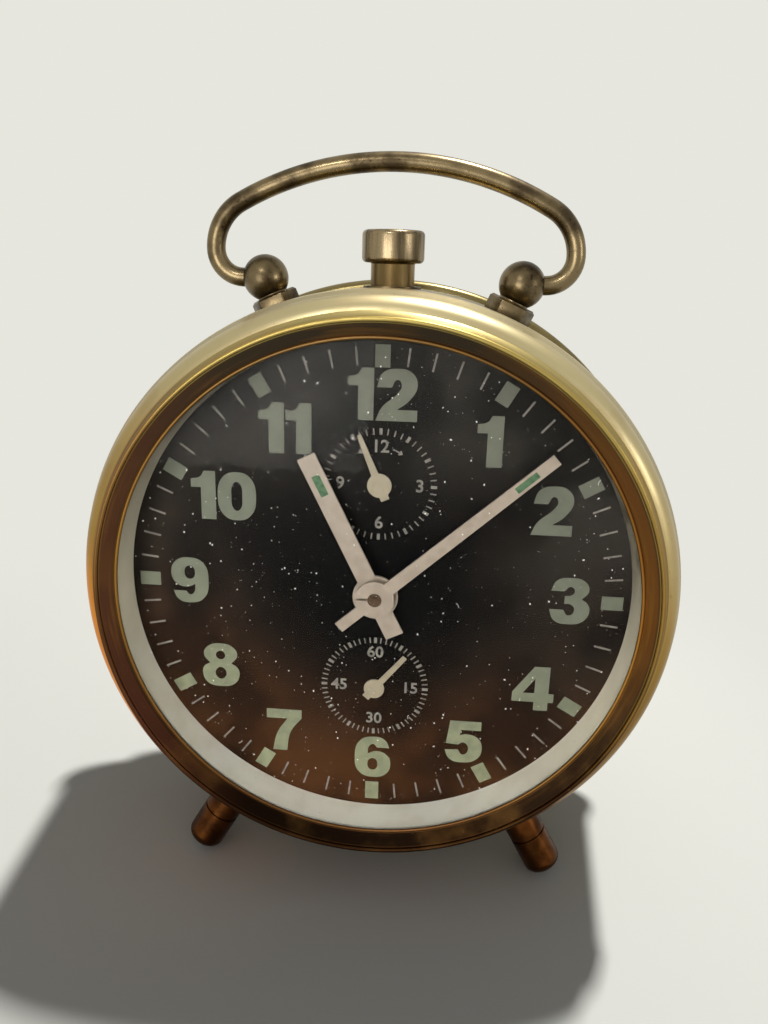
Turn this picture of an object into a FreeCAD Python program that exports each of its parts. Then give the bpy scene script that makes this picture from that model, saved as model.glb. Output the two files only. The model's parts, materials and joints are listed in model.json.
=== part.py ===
import FreeCAD, Part
import math
import os

# Wind-up alarm clock with a folding handle, a stop button and a spring-driven movement.
# Lengths are millimetres and angles are degrees.
# The clock is built upright: X to the right of the dial, Z up, Y into the case.
# The face of the dial is the plane Y = 0 and the hand post stands on the Y axis.
# The last step leans the clock back until its feet and rear rim stand on the floor.

# Case drum
CASE_RADIUS = 55.5
CASE_WALL = 0.8
CASE_REAR_Y = 29.6
CASE_EDGE_RADIUS = 0.5
RIM_WIDTH = 3.0
RIM_HEIGHT = 1.4
NECK_LENGTH = 4.5
SEAT_WIDTH = 9.5
COVER_LEDGE_WIDTH = 3.1
COVER_RECESS = 1.6

# Bezel, from its widest band inwards
BEZEL_STEP = 0.5
BEZEL_SKIRT_WALL = 0.85
BEZEL_WIDEST_Y = -4.0
OUTER_BAND = 2.7
COVE = 0.8
CREST = 0.9
INNER_SLOPE = 2.3
BEAD = 0.7
COVE_FOOT_Y = -7.6
CREST_Y = -10.2
CREST_EDGE_Y = -9.6
BEAD_RISE = 0.4
SLOPE_FOOT_RISE = 0.15
BEZEL_METAL = 0.65
BAND_BULGE_OUT = 0.55
BAND_BULGE_FORWARD = 0.45
BAND_WALL_STEP = 0.2
BEZEL_SNAP_GAP = 0.05
BEZEL_SHOULDER_GAP = 0.1

# Glass, light ring and dial
GLASS_THICKNESS = 1.4
GLASS_SIDE_GAP = 0.3
GLASS_SEAT = 1.6
RING_WALL = 0.55
RING_DEPTH = 6.5
RING_FLARE = 0.6
RING_FOOT = 0.6
RING_SIDE_GAP = 0.3
DIAL_THICKNESS = 0.5
DIAL_HOLE_GAP = 0.4

# Back cover
COVER_THICKNESS = 0.6
COVER_FLANGE_WIDTH = 7.5
COVER_DOME_HEIGHT = 5.4
COVER_SLANT = 1.7
COVER_SIDE_GAP = 0.2
COVER_HOLE_GAP = 0.6
COVER_SCREW_COUNT = 3
COVER_SCREW_HEAD_RADIUS = 1.5
COVER_SCREW_HEAD_HEIGHT = 0.9
COVER_SCREW_SHANK_RADIUS = 0.9
COVER_SCREW_LENGTH = 2.2
COVER_SLOT_TURN = 25.0
COVER_SLOT_TURN_STEP = 50.0
SCREW_SLOT_WIDTH = 0.5
SCREW_SLOT_DEPTH = 0.4
GONG_STUD_RADIUS = 1.2

# Handle and its posts
HANDLE_Y = 18.0
HANDLE_WIRE_RADIUS = 1.8
HANDLE_HALF_WIDTH = 34.35
HANDLE_HEIGHT = 21.3
HANDLE_CROWN_RADIUS = 60.6
HANDLE_CURL_RADIUS = 5.2
BALL_INSET = 9.65
BALL_STAND_OFF = 6.255
BALL_RADIUS = 4.4
PIVOT_GAP = 0.05
PIVOT_END_GAP = 0.5
PIVOT_PAST_CENTRE = 0.6
POST_NECK_RADIUS = 2.9
POST_NECK_FLARE = 0.6
POST_BASE_ACROSS_FLATS = 8.2
POST_BASE_HEIGHT = 2.2
POST_BASE_CHAMFER = 0.8
STUD_RADIUS = 1.5
STUD_INSIDE_LENGTH = 4.4
STUD_GAP = 0.05
NUT_ACROSS_FLATS = 5.5
NUT_HEIGHT = 2.4
NUT_SEAT_GAP = 0.15

# Feet
FOOT_Y = 5.8
FOOT_ANGLE = 31.0
FOOT_TILT = 9.0
FOOT_RADIUS = 3.85
FOOT_ROUND = 2.2
FOOT_LENGTH = 17.0
FOOT_GROOVE_AT = 9.0
FOOT_GROOVE_DEPTH = 0.25
FOOT_GROOVE_WIDTH = 0.7
LEAN_STEPS = 20

# Stop button
BUTTON_Y = 18.0
BUTTON_TRAVEL = 3.9
CAP_RADIUS = 5.95
CAP_HEIGHT = 5.95
CAP_ROUND = 0.9
STEM_RADIUS = 4.2
STEM_GAP = 0.05
STEM_SHOWN = 4.45
STEM_INSIDE = 5.5
BUSH_WALL = 0.8
BUSH_COLLAR_WIDTH = 0.5
BUSH_COLLAR_HEIGHT = 0.2
BUSH_INSIDE = 4.5
CLIP_WIDTH = 1.0
CLIP_THICKNESS = 0.5
CLIP_GAP = 0.3
STOP_ROD_RADIUS = 1.5
STOP_ROD_GAP = 0.05
STOP_ROD_END_Z = 32.0
STOP_ARM_Z = 33.2
STOP_ARM_HEIGHT = 1.6
STOP_ARM_THICKNESS = 0.8
STOP_ARM_WIRE_GAP = 1.2
GUIDE_Z = 39.0
GUIDE_THICKNESS = 0.8
GUIDE_HALF_WIDTH = 3.5
GUIDE_REACH = 6.4
GUIDE_FOOT_HEIGHT = 4.5

# Movement frame
PLATE_THICKNESS = 1.0
FRONT_PLATE_Y = 5.0
PLATE_GAP = 16.0
FRONT_PLATE_RADIUS = 43.0
BACK_PLATE_RADIUS = 42.0
EAR_COUNT = 3
EAR_HALF_WIDTH = 4.0
EAR_MARGIN = 2.4
EAR_HOLE_INSET = 6.3
SPACER_RADIUS = 2.6
MOVEMENT_SCREW_RADIUS = 1.2
MOVEMENT_SCREW_HEAD_RADIUS = 2.2
MOVEMENT_SCREW_HEAD_HEIGHT = 1.2
MOVEMENT_SCREW_END_GAP = 0.1
SCREW_GAP = 0.05
PILLAR_RADIUS = 2.0
PILLAR_STUB_RADIUS = 1.1
PILLAR_NUT_ACROSS_FLATS = 4.0
PILLAR_NUT_HEIGHT = 1.4
PILLAR_STUB_PROUD = 0.3
PILLAR_CIRCLE = 37.5
PILLAR_ANGLES = (62.0, 159.0, 238.0, 315.0)
PIVOT_RADIUS = 0.5
BEARING_GAP = 0.03
ARBOR_RADIUS = 0.9

# Gear teeth, in modules: width at the pitch circle, addendum, dedendum
WHEEL_TOOTH = (1.45, 0.72, 0.95)
PINION_LEAF = (0.95, 0.45, 1.25)

# Tooth counts and modules
GREAT_TEETH = 60
CENTRE_LEAVES = 10
GREAT_MODULE = 0.6
CENTRE_TEETH = 64
THIRD_LEAVES = 8
CENTRE_MODULE = 0.45
THIRD_TEETH = 60
FOURTH_LEAVES = 8
THIRD_MODULE = 0.42
FOURTH_TEETH = 64
ESCAPE_LEAVES = 8
FOURTH_MODULE = 0.34
CANNON_LEAVES = 12
MINUTE_TEETH = 36
MINUTE_LEAVES = 10
HOUR_TEETH = 40
ALARM_GREAT_TEETH = 48
ALARM_ESCAPE_LEAVES = 8
ALARM_MODULE = 0.5

# Places of the arbors in the dial plane
SECONDS_OFFSET = 20.4
ALARM_OFFSET = 20.8
GREAT_ANGLE = 22.0
ESCAPE_ANGLE = 205.0
ALARM_GREAT_X = -22.0
ALARM_GREAT_Z = 4.0
ALARM_ESCAPE_ANGLE = 96.0
VERGE_ANGLE = 40.0
BALANCE_X = -27.5
BALANCE_Z = -14.0

# Wheel levels, measured from the rear face of the front plate
GREAT_LEVEL = 1.0
GREAT_THICKNESS = 1.0
CENTRE_PINION_LEVEL = 0.4
CENTRE_PINION_LENGTH = 2.2
RATCHET_LEVEL = 2.4
RATCHET_THICKNESS = 1.0
SPRING_LEVEL = 4.2
SPRING_WIDTH = 7.0
FOURTH_LEVEL = 6.0
FOURTH_THICKNESS = 0.6
ESCAPE_PINION_LEVEL = 5.4
ESCAPE_PINION_LENGTH = 1.8
LEVER_LEVEL = 7.9
LEVER_THICKNESS = 0.5
ESCAPE_LEVEL = 9.0
ESCAPE_THICKNESS = 0.4
BALANCE_LEVEL = 11.6
BALANCE_THICKNESS = 1.0
CENTRE_LEVEL = 12.6
CENTRE_THICKNESS = 0.9
THIRD_PINION_LEVEL = 12.1
THIRD_PINION_LENGTH = 1.8
HAIRSPRING_LEVEL = 13.3
HAIRSPRING_WIDTH = 0.4
THIRD_LEVEL = 14.2
THIRD_THICKNESS = 0.7
FOURTH_PINION_LEVEL = 13.8
FOURTH_PINION_LENGTH = 1.5
RIM_OF_WHEELS = 1.5
SPOKE_WIDTH = 1.2
WHEEL_HUB_RADIUS = 2.4

# Motion work between the dial and the front plate, by depth behind the dial
HOUR_WHEEL_Y = 2.0
ALARM_WHEEL_Y = 2.95
MOTION_WHEEL_THICKNESS = 0.6
MINUTE_WHEEL_Y = 3.9
MINUTE_PINION_Y = 1.8
CAM_Y = 1.2
CAM_RADIUS = 6.0
CAM_PIN_RADIUS = 0.5
CAM_PIN_CIRCLE = 4.0
CAM_PIN_GAP = 0.15
CAM_NOTCH_RADIUS = 0.8
CENTRE_ARBOR_RADIUS = 0.75
CANNON_RADIUS = 1.3
CANNON_BORE_GAP = 0.02
HOUR_PIPE_RADIUS = 1.9
RUNNING_GAP = 0.05
MINUTE_STUD_RADIUS = 0.8
MINUTE_STUD_PROUD = 0.2
CANNON_FACE_GAP = 0.15
CANNON_PLATE_GAP = 0.1
CANNON_PIPE_PAST = 0.2
PIPE_PROUD = 0.15
RELEASE_SPRING_THICKNESS = 0.28
RELEASE_SPRING_GAP = 0.08
RELEASE_SPRING_WIDTH = 2.4
RELEASE_RIVET_X = 9.0
RELEASE_RIVET_Z = 31.0
RELEASE_RIVET_RADIUS = 1.0
RELEASE_FINGER_X = -16.0
RELEASE_FINGER_Z = 28.5
RELEASE_FINGER_WIDTH = 1.6
RELEASE_FINGER_DEPTH = 13.4

# Winding arbors, mainsprings, ratchets and keys
WINDING_RADIUS = 1.6
WINDING_HUB_RADIUS = 2.0
WINDING_FRONT_PIVOT_RADIUS = 1.0
WINDING_REAR_RADIUS = 1.4
MAINSPRING_BAND = 0.35
MAINSPRING_INNER_GAP = 0.15
MAINSPRING_TURNS = 11
MAINSPRING_RADIUS = 13.6
ALARM_SPRING_WIDTH = 6.0
ALARM_SPRING_TURNS = 10
ALARM_SPRING_RADIUS = 11.6
SPRING_LOOP_BAND = 0.5
RATCHET_RADIUS = 5.0
RATCHET_TEETH = 16
RATCHET_TOOTH_DEPTH = 0.9
RATCHET_LEAN = 0.9
WINDING_HUB_PAST = 0.3
CLICK_PIVOT_DISTANCE = 8.2
CLICK_PIVOT_RADIUS = 0.7
CLICK_BOSS_RADIUS = 1.5
CLICK_TIP_GAP = 0.15
CLICK_TIP_HALF_WIDTH = 0.45
CLICK_ROOT_HALF_WIDTH = 0.63
CLICK_ANGLE = 100.0
CLICK_LAY = 62.0
KEY_FRONT_GAP = 1.0
KEY_HUB_RADIUS = 2.8
KEY_HUB_LENGTH = 3.6
KEY_HALF_WIDTH = 8.6
KEY_DEPTH = 10.4
KEY_THICKNESS = 1.4
KEY_LOBE_RADIUS = 3.6
KEY_NECK_INSET = 0.4
KEY_DIP = 2.6
TIME_KEY_TURN = 35.0
ALARM_KEY_TURN = -20.0
SET_KNOB_RADIUS = 5.5
SET_KNOB_LENGTH = 5.8
ALARM_KNOB_RADIUS = 4.3
ALARM_KNOB_LENGTH = 5.0
KNOB_RIDGES = 24
KNOB_RIDGE_HEIGHT = 0.35
KNOB_FRONT_GAP = 1.2
KNOB_COLLAR_HEIGHT = 0.6
KNOB_DISH_DEPTH = 0.5
KNOB_SHOULDER = 2.2
ALARM_KNOB_SHOULDER = 1.72

# Escapement and alarm hammer
ESCAPE_RADIUS = 5.6
ESCAPE_COUNT = 15
ESCAPE_TOOTH_DEPTH = 1.6
ESCAPE_LEAN = 0.35
ESCAPE_HUB_RADIUS = 1.2
LEVER_ARBOR_DISTANCE = 7.6
LEVER_WIDTH = 1.2
LEVER_BOSS_RADIUS = 1.56
LEVER_TIP_HALF_WIDTH = 0.48
LEVER_TAIL_LENGTH = 1.32
PALLET_PIN_RADIUS = 0.3
PALLET_SPREAD = 35.0
LEVER_AXIAL_GAP = 0.1
FORK_GAP = 1.3
FORK_LENGTH = 2.2
FORK_HALF_WIDTH = 1.3
FORK_SLOT_HALF_WIDTH = 0.45
IMPULSE_CIRCLE = 2.2
IMPULSE_PIN_RADIUS = 0.3
ROLLER_RADIUS = 3.0
ROLLER_THICKNESS = 0.6
ROLLER_GAP = 0.8
BALANCE_RADIUS = 9.5
BALANCE_RIM = 1.3
STAFF_RADIUS = 0.8
STAFF_CONE = 1.0
STAFF_FRONT_Y = 10.2
STAFF_END_GAP = 0.6
BEARING_SCREW_RADIUS = 1.5
BEARING_CUP_DEPTH = 0.6
BEARING_CUP_GAP = 0.04
BEARING_HEAD = 1.2
COLLET_RADIUS = 1.0
COLLET_PROUD = 0.1
HAIRSPRING_BAND = 0.14
HAIRSPRING_TURNS = 9
HAIRSPRING_RADIUS = 5.6
HAIRSPRING_INNER_GAP = 0.15
HAIR_STUD_RADIUS = 0.6
HAIR_STUD_GAP = 0.1
REGULATOR_THICKNESS = 0.5
REGULATOR_TAB_INSET = 5.842
REGULATOR_ANGLE = 205.0
REGULATOR_SWING = 20.0
REGULATOR_TAB_WIDTH = 1.2
REGULATOR_TAB_THICKNESS = 0.6
REGULATOR_TAB_PROUD = 0.8
REGULATOR_HUB_RADIUS = 2.8
REGULATOR_PLATE_GAP = 0.15
ALARM_ESCAPE_LEVEL = 11.0
ALARM_ESCAPE_RADIUS = 6.8
ALARM_ESCAPE_COUNT = 18
ALARM_ESCAPE_DEPTH = 1.8
ALARM_ESCAPE_THICKNESS = 0.8
ALARM_ESCAPE_LEAN = 0.5
VERGE_DISTANCE = 8.4
VERGE_THICKNESS = 0.6
VERGE_GAP = 0.3
VERGE_PIN_REACH = 0.2
VERGE_PIN_RADIUS = 0.5
VERGE_PIN_INSET = 0.6
VERGE_ROOT_HALF_WIDTH = 0.8
HAMMER_WIRE_RADIUS = 0.6
HAMMER_WIRE_LEVEL = 13.4
HAMMER_X = -20.0
HAMMER_Z = 37.0
HAMMER_HEAD_RADIUS = 2.0
HAMMER_HEAD_LENGTH = 5.0
HAMMER_STUD_GAP = 1.4
GONG_STUD_END_Y = 18.0

# Hands, with the time that they show at rest as clockwise angles from twelve
HOUR_HAND_ANGLE = -26.5
MINUTE_HAND_ANGLE = 48.0
SECONDS_HAND_ANGLE = 39.5
ALARM_HAND_ANGLE = -23.0
HAND_THICKNESS = 0.45
HOUR_HAND_Y = -3.1
MINUTE_HAND_Y = -4.5
POST_END_Y = -5.3
HOUR_HAND_LENGTH = 29.4
HOUR_HAND_TAIL = 8.6
HOUR_HAND_WIDTH = 3.5
HOUR_HUB_RADIUS = 4.25
MINUTE_HAND_LENGTH = 41.9
MINUTE_HAND_TAIL = 8.9
MINUTE_HAND_WIDTH = 2.5
MINUTE_TIP_WIDTH = 2.1
MINUTE_HUB_RADIUS = 3.6
MINUTE_SLIT_WIDTH = 0.4
MINUTE_SLIT_ANGLE = 222.0
HOUR_SLOT_AT = 23.5
HOUR_SLOT_LENGTH = 4.1
HOUR_SLOT_WIDTH = 1.5
MINUTE_SLOT_AT = 35.4
MINUTE_SLOT_LENGTH = 4.8
MINUTE_SLOT_WIDTH = 1.2
LUME_THICKNESS = 0.3
SMALL_HAND_THICKNESS = 0.3
ALARM_HAND_Y = -0.4
ALARM_HAND_LENGTH = 10.0
ALARM_HAND_TAIL = 2.95
ALARM_HAND_HUB = 2.25
ALARM_HAND_WIDTH = 1.5
ALARM_TIP_WIDTH = 0.8
ALARM_TAIL_WIDTH = 1.6
SECONDS_HAND_Y = -0.8
SECONDS_HAND_LENGTH = 9.2
SECONDS_HAND_TAIL = 2.6
SECONDS_HAND_HUB = 2.0
SECONDS_HAND_WIDTH = 1.25
SECONDS_TIP_WIDTH = 0.95
SECONDS_TAIL_WIDTH = 1.5

# Values worked out from the sizes above
V = FreeCAD.Vector
ACROSS = V(0, 1, 0)
ORIGIN = V(0, 0, 0)
PAST = 1.0

bezel_radius = CASE_RADIUS - BEZEL_STEP
cove_outer = bezel_radius - OUTER_BAND
crest_outer = cove_outer - COVE
slope_outer = crest_outer - CREST
bead_outer = slope_outer - INNER_SLOPE
view_radius = bead_outer - BEAD
ring_inner_front = view_radius + BEAD - RING_FLARE / 4 - BEAD / 2
glass_radius = view_radius + GLASS_SEAT
skirt_inner = bezel_radius - BEZEL_SKIRT_WALL
neck_outer = skirt_inner - BEZEL_SNAP_GAP
neck_inner = neck_outer - CASE_WALL
case_inner = CASE_RADIUS - CASE_WALL
seat_y = DIAL_THICKNESS
seat_inner = case_inner - SEAT_WIDTH
glass_rear_y = -RING_DEPTH
glass_front_y = glass_rear_y - GLASS_THICKNESS
front_plate_rear = FRONT_PLATE_Y + PLATE_THICKNESS
back_plate_y = front_plate_rear + PLATE_GAP
back_plate_rear = back_plate_y + PLATE_THICKNESS
ledge_rear = CASE_REAR_Y - COVER_RECESS
cover_inside = ledge_rear + COVER_DOME_HEIGHT
cover_rear = cover_inside + COVER_THICKNESS
cover_flange_outer = case_inner - COVER_SIDE_GAP
cover_foot = cover_flange_outer - COVER_FLANGE_WIDTH
cover_dome_radius = cover_foot - COVER_SLANT
ear_circle = case_inner - EAR_HOLE_INSET
ball_x = HANDLE_HALF_WIDTH - BALL_INSET
ball_distance = CASE_RADIUS + BALL_STAND_OFF
ball_z = math.sqrt(ball_distance ** 2 - ball_x ** 2)
post_angle = math.degrees(math.atan2(ball_x, ball_z))
cap_bottom = CASE_RADIUS + STEM_SHOWN


def level(value):
    """Depth of a wheel from its height above the front plate's rear face."""
    return front_plate_rear + value


def polar(radius, angle, x=0.0, z=0.0):
    """Place in the dial plane at an angle counted from +X towards +Z."""
    turn = math.radians(angle)
    return (x + radius * math.cos(turn), z + radius * math.sin(turn))


def direction(start, end):
    """Angle of the line from one place in the dial plane to another."""
    return math.degrees(math.atan2(end[1] - start[1], end[0] - start[0]))


def meeting_place(first, first_radius, second, second_radius):
    """Right-hand crossing of two circles in the dial plane."""
    gap = math.dist(first, second)
    along = (first_radius ** 2 - second_radius ** 2 + gap ** 2) / (2 * gap)
    aside = math.sqrt(first_radius ** 2 - along ** 2)
    turn = direction(first, second)
    base = polar(along, turn, *first)
    return polar(aside, turn + 90, *base)


# Arbor places
CENTRE = (0.0, 0.0)
SECONDS = (0.0, -SECONDS_OFFSET)
ALARM = (0.0, ALARM_OFFSET)
great_distance = GREAT_MODULE * (GREAT_TEETH + CENTRE_LEAVES) / 2
GREAT = polar(great_distance, GREAT_ANGLE)
centre_third = CENTRE_MODULE * (CENTRE_TEETH + THIRD_LEAVES) / 2
third_fourth = THIRD_MODULE * (THIRD_TEETH + FOURTH_LEAVES) / 2
THIRD = meeting_place(CENTRE, centre_third, SECONDS, third_fourth)
fourth_escape = FOURTH_MODULE * (FOURTH_TEETH + ESCAPE_LEAVES) / 2
ESCAPE = polar(fourth_escape, ESCAPE_ANGLE, *SECONDS)
BALANCE = (BALANCE_X, BALANCE_Z)
LEVER = polar(LEVER_ARBOR_DISTANCE, direction(ESCAPE, BALANCE), *ESCAPE)
motion_module = ALARM_OFFSET / HOUR_TEETH
motion_distance = motion_module * (HOUR_TEETH + MINUTE_LEAVES) / 2
cannon_module = 2 * motion_distance / (CANNON_LEAVES + MINUTE_TEETH)
MINUTE = meeting_place(CENTRE, motion_distance, ALARM, motion_distance)
ALARM_GREAT = (ALARM_GREAT_X, ALARM_GREAT_Z)
alarm_distance = ALARM_MODULE * (ALARM_GREAT_TEETH + ALARM_ESCAPE_LEAVES) / 2
ALARM_ESCAPE = polar(alarm_distance, ALARM_ESCAPE_ANGLE, *ALARM_GREAT)
VERGE = polar(VERGE_DISTANCE, VERGE_ANGLE, *ALARM_ESCAPE)
HAMMER = (HAMMER_X, HAMMER_Z)
PILLARS = [polar(PILLAR_CIRCLE, angle) for angle in PILLAR_ANGLES]
EARS = [polar(ear_circle, 90 + 360 * k / EAR_COUNT) for k in range(EAR_COUNT)]
regulator_length = cover_dome_radius - math.dist(CENTRE, BALANCE) - REGULATOR_TAB_INSET
stud_distance = HAMMER_HEAD_LENGTH / 2 + HAMMER_STUD_GAP + GONG_STUD_RADIUS
GONG_STUD = polar(stud_distance, direction(VERGE, HAMMER) - 90, *HAMMER)
hair_stud_place = polar(HAIRSPRING_RADIUS + HAIR_STUD_RADIUS + HAIR_STUD_GAP, 0.0, *BALANCE)


# Shape helpers
def disc(radius, y0, y1, place=CENTRE):
    """Solid round bar along Y between two depths."""
    return Part.makeCylinder(radius, y1 - y0, V(place[0], y0, place[1]), ACROSS)


def tube(outer, inner, y0, y1, place=CENTRE):
    """Round bar with a hole through it."""
    return disc(outer, y0, y1, place).cut(disc(inner, y0 - PAST, y1 + PAST, place))


def outline_face(points, to_point):
    """Flat face inside a closed outline of points and of (via, end) pairs for arcs."""
    start = to_point(points[0])
    last = start
    edges = []
    for item in points[1:]:
        if isinstance(item[0], tuple):
            end = to_point(item[1])
            edges.append(Part.Arc(last, to_point(item[0]), end).toShape())
        else:
            end = to_point(item)
            edges.append(Part.makeLine(last, end))
        last = end
    if last.distanceToPoint(start) > 1e-6:
        edges.append(Part.makeLine(last, start))
    return Part.Face(Part.Wire(edges))


def turned(points, place=CENTRE):
    """Solid turned about a Y axis from (radius, depth) points."""
    x, z = place
    face = outline_face(points, lambda p: V(x + p[0], p[1], z))
    return face.revolve(V(x, 0, z), ACROSS, 360)


def stepped_bar(stretches, place=CENTRE):
    """Arbor turned from (radius, y0, y1) stretches that follow one another."""
    points = [(0.0, stretches[0][1])]
    for radius, y0, y1 in stretches:
        points.append((radius, y0))
        points.append((radius, y1))
    points.append((0.0, stretches[-1][2]))
    return turned(points, place)


def sheet(points, y0, y1):
    """Flat plate between two depths from (x, z) points."""
    return outline_face(points, lambda p: V(p[0], y0, p[1])).extrude(V(0, y1 - y0, 0))


def bar(start, end, half_width, y0, y1, end_half_width=None):
    """Straight flat bar from one place to another, tapered if an end width is given."""
    far = half_width if end_half_width is None else end_half_width
    turn = direction(start, end)
    corners = [
        polar(half_width, turn + 90, *start),
        polar(half_width, turn - 90, *start),
        polar(far, turn - 90, *end),
        polar(far, turn + 90, *end),
    ]
    return sheet(corners, y0, y1)


def box(x0, x1, y0, y1, z0, z1):
    """Block between two corners."""
    return Part.makeBox(x1 - x0, y1 - y0, z1 - z0, V(x0, y0, z0))


def clockwise(shape, angle, place=CENTRE):
    """Shape turned clockwise, as seen from the front, about a Y axis."""
    return shape.rotated(V(place[0], 0, place[1]), ACROSS, angle)


def fused(*shapes):
    """One solid from shapes that touch or overlap."""
    whole = shapes[0].multiFuse(list(shapes[1:]))
    return whole.removeSplitter()


def hex_bar(across_flats, z0, z1):
    """Hexagonal bar along Z."""
    corner = across_flats / math.sqrt(3)
    points = [V(*polar(corner, 60 * k), z0) for k in range(7)]
    return Part.Face(Part.makePolygon(points)).extrude(V(0, 0, z1 - z0))


# Gears
def gear_face(teeth, module, tooth, phase, place, y0):
    """Face of a wheel or pinion with straight flanks and round tips."""
    width, addendum, dedendum = tooth
    pitch = module * teeth / 2
    half = math.degrees(width * module / 2 / pitch)
    root = pitch - dedendum * module
    tip = pitch + addendum * module
    points = [polar(root, phase - half, *place)]
    for k in range(teeth):
        centre = phase + 360 * k / teeth
        points.append(polar(pitch, centre - half, *place))
        points.append((polar(tip, centre, *place), polar(pitch, centre + half, *place)))
        points.append(polar(root, centre + half, *place))
        points.append(polar(root, centre + 360 / teeth - half, *place))
    points[-1] = points[0]
    return outline_face(points, lambda p: V(p[0], y0, p[1]))


def gear(teeth, module, tooth, phase, place, y0, y1):
    """Solid wheel or pinion between two depths."""
    return gear_face(teeth, module, tooth, phase, place, y0).extrude(V(0, y1 - y0, 0))


def meshed_phase(teeth, phase, place, mate_teeth, mate_place):
    """Angle of a mate's tooth that puts its gap on the first wheel's tooth."""
    turn = direction(place, mate_place)
    in_teeth = teeth * (turn - phase) / 360
    return turn + 180 - (0.5 - in_teeth) * 360 / mate_teeth


def windows(place, hub, rim, spokes, y0, y1):
    """Gaps between the spokes of a wheel."""
    gaps = tube(rim, hub, y0 - PAST, y1 + PAST, place)
    arms = []
    for k in range(spokes):
        end = polar(rim + PAST, 360 * k / spokes, *place)
        arms.append(bar(place, end, SPOKE_WIDTH / 2, y0 - 2 * PAST, y1 + 2 * PAST))
    return gaps.cut(arms)


def spoked_wheel(teeth, module, phase, place, y0, thickness, spokes=4):
    """Train wheel with a rim, spokes and a hub."""
    wheel = gear(teeth, module, WHEEL_TOOTH, phase, place, y0, y0 + thickness)
    rim = module * teeth / 2 - WHEEL_TOOTH[2] * module - RIM_OF_WHEELS
    return wheel.cut(windows(place, WHEEL_HUB_RADIUS, rim, spokes, y0, y0 + thickness))


def saw_wheel(radius, count, depth, place, y0, y1, lean):
    """Ratchet or escape wheel with slanted teeth, leaning by a share of the tooth pitch."""
    step = 360 / count
    points = []
    for k in range(count):
        points.append(polar(radius - depth, k * step, *place))
        points.append(polar(radius, (k + lean) * step, *place))
    return sheet(points, y0, y1)


# Springs
def spiral(inner, outer, turns, band, place, y0, y1, start_angle=0.0):
    """Flat spiral band of half-circle arcs between two radii."""
    halves = 2 * turns
    step = (outer - inner - band) / halves
    x, z = place
    lead = math.radians(start_angle)
    axis = (math.cos(lead), math.sin(lead))

    def at(distance):
        return (x + distance * axis[0], z + distance * axis[1])

    def above(centre, radius, side):
        return (centre[0] - side * radius * axis[1], centre[1] + side * radius * axis[0])

    near = []
    far = []
    distance = inner
    side = 1
    sign = 1
    for k in range(halves):
        reach = distance + step
        middle = sign * (distance - reach) / 2
        radius = (distance + reach) / 2
        centre = at(middle)
        end_in = at(-sign * reach)
        end_out = at(-sign * (reach + band))
        near.append((above(centre, radius, side), end_in))
        far.append((above(centre, radius + band, side), end_out))
        distance = reach
        sign = -sign
        side = -side
    points = [at(inner)] + near
    last_out = far[-1][1]
    points.append(last_out)
    backwards = [at(inner + band)] + [end for via, end in far]
    for k in range(halves - 1, -1, -1):
        points.append((far[k][0], backwards[k]))
    return sheet(points, y0, y1)


# Case, bezel, glass and dial
def radial_hole(radius, angle, y, from_radius):
    """Cutter from a radius outwards, leaning clockwise from the top."""
    hole = Part.makeCylinder(radius, CASE_RADIUS + 2 * RIM_HEIGHT - from_radius, V(0, y, from_radius))
    return clockwise(hole, angle)


def make_case_drum():
    """Drum with a front neck, a dial seat, a rolled rear rim and a ledge for the cover."""
    seat_rear = seat_y + CASE_WALL
    rim_middle = CASE_REAR_Y - RIM_WIDTH / 2
    edge = CASE_EDGE_RADIUS
    knee = edge * (1 - math.sqrt(0.5))
    ledge_inner = case_inner - COVER_LEDGE_WIDTH
    drum = turned([
        (seat_inner, seat_y),
        (neck_inner, seat_y),
        (neck_inner, seat_y - NECK_LENGTH),
        (neck_outer, seat_y - NECK_LENGTH),
        (neck_outer, seat_y),
        (CASE_RADIUS - edge, seat_y),
        ((CASE_RADIUS - knee, seat_y + knee), (CASE_RADIUS, seat_y + edge)),
        (CASE_RADIUS, CASE_REAR_Y - RIM_WIDTH),
        ((CASE_RADIUS + RIM_HEIGHT, rim_middle), (CASE_RADIUS, CASE_REAR_Y)),
        (case_inner, CASE_REAR_Y),
        (case_inner, ledge_rear),
        (ledge_inner, ledge_rear),
        (ledge_inner, ledge_rear - CASE_WALL),
        (case_inner, ledge_rear - CASE_WALL),
        (case_inner, seat_rear),
        (seat_inner, seat_rear),
    ])
    cutters = [radial_hole(bush_outer() + STUD_GAP, 0, BUTTON_Y, seat_inner)]
    for side in (-1, 1):
        cutters.append(radial_hole(STUD_RADIUS + STUD_GAP, side * post_angle, HANDLE_Y, seat_inner))
        foot_turn = 180 + side * FOOT_ANGLE
        cutters.append(radial_hole(STUD_RADIUS + STUD_GAP, foot_turn, FOOT_Y, seat_inner))
    for place in EARS:
        cutters.append(disc(MOVEMENT_SCREW_RADIUS + SCREW_GAP, seat_y - PAST, seat_rear + PAST, place))
    for place in cover_screw_places():
        hole = disc(COVER_SCREW_SHANK_RADIUS, ledge_rear - 2 * PAST, ledge_rear + PAST, place)
        cutters.append(hole)
    return drum.cut(cutters)


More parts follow.
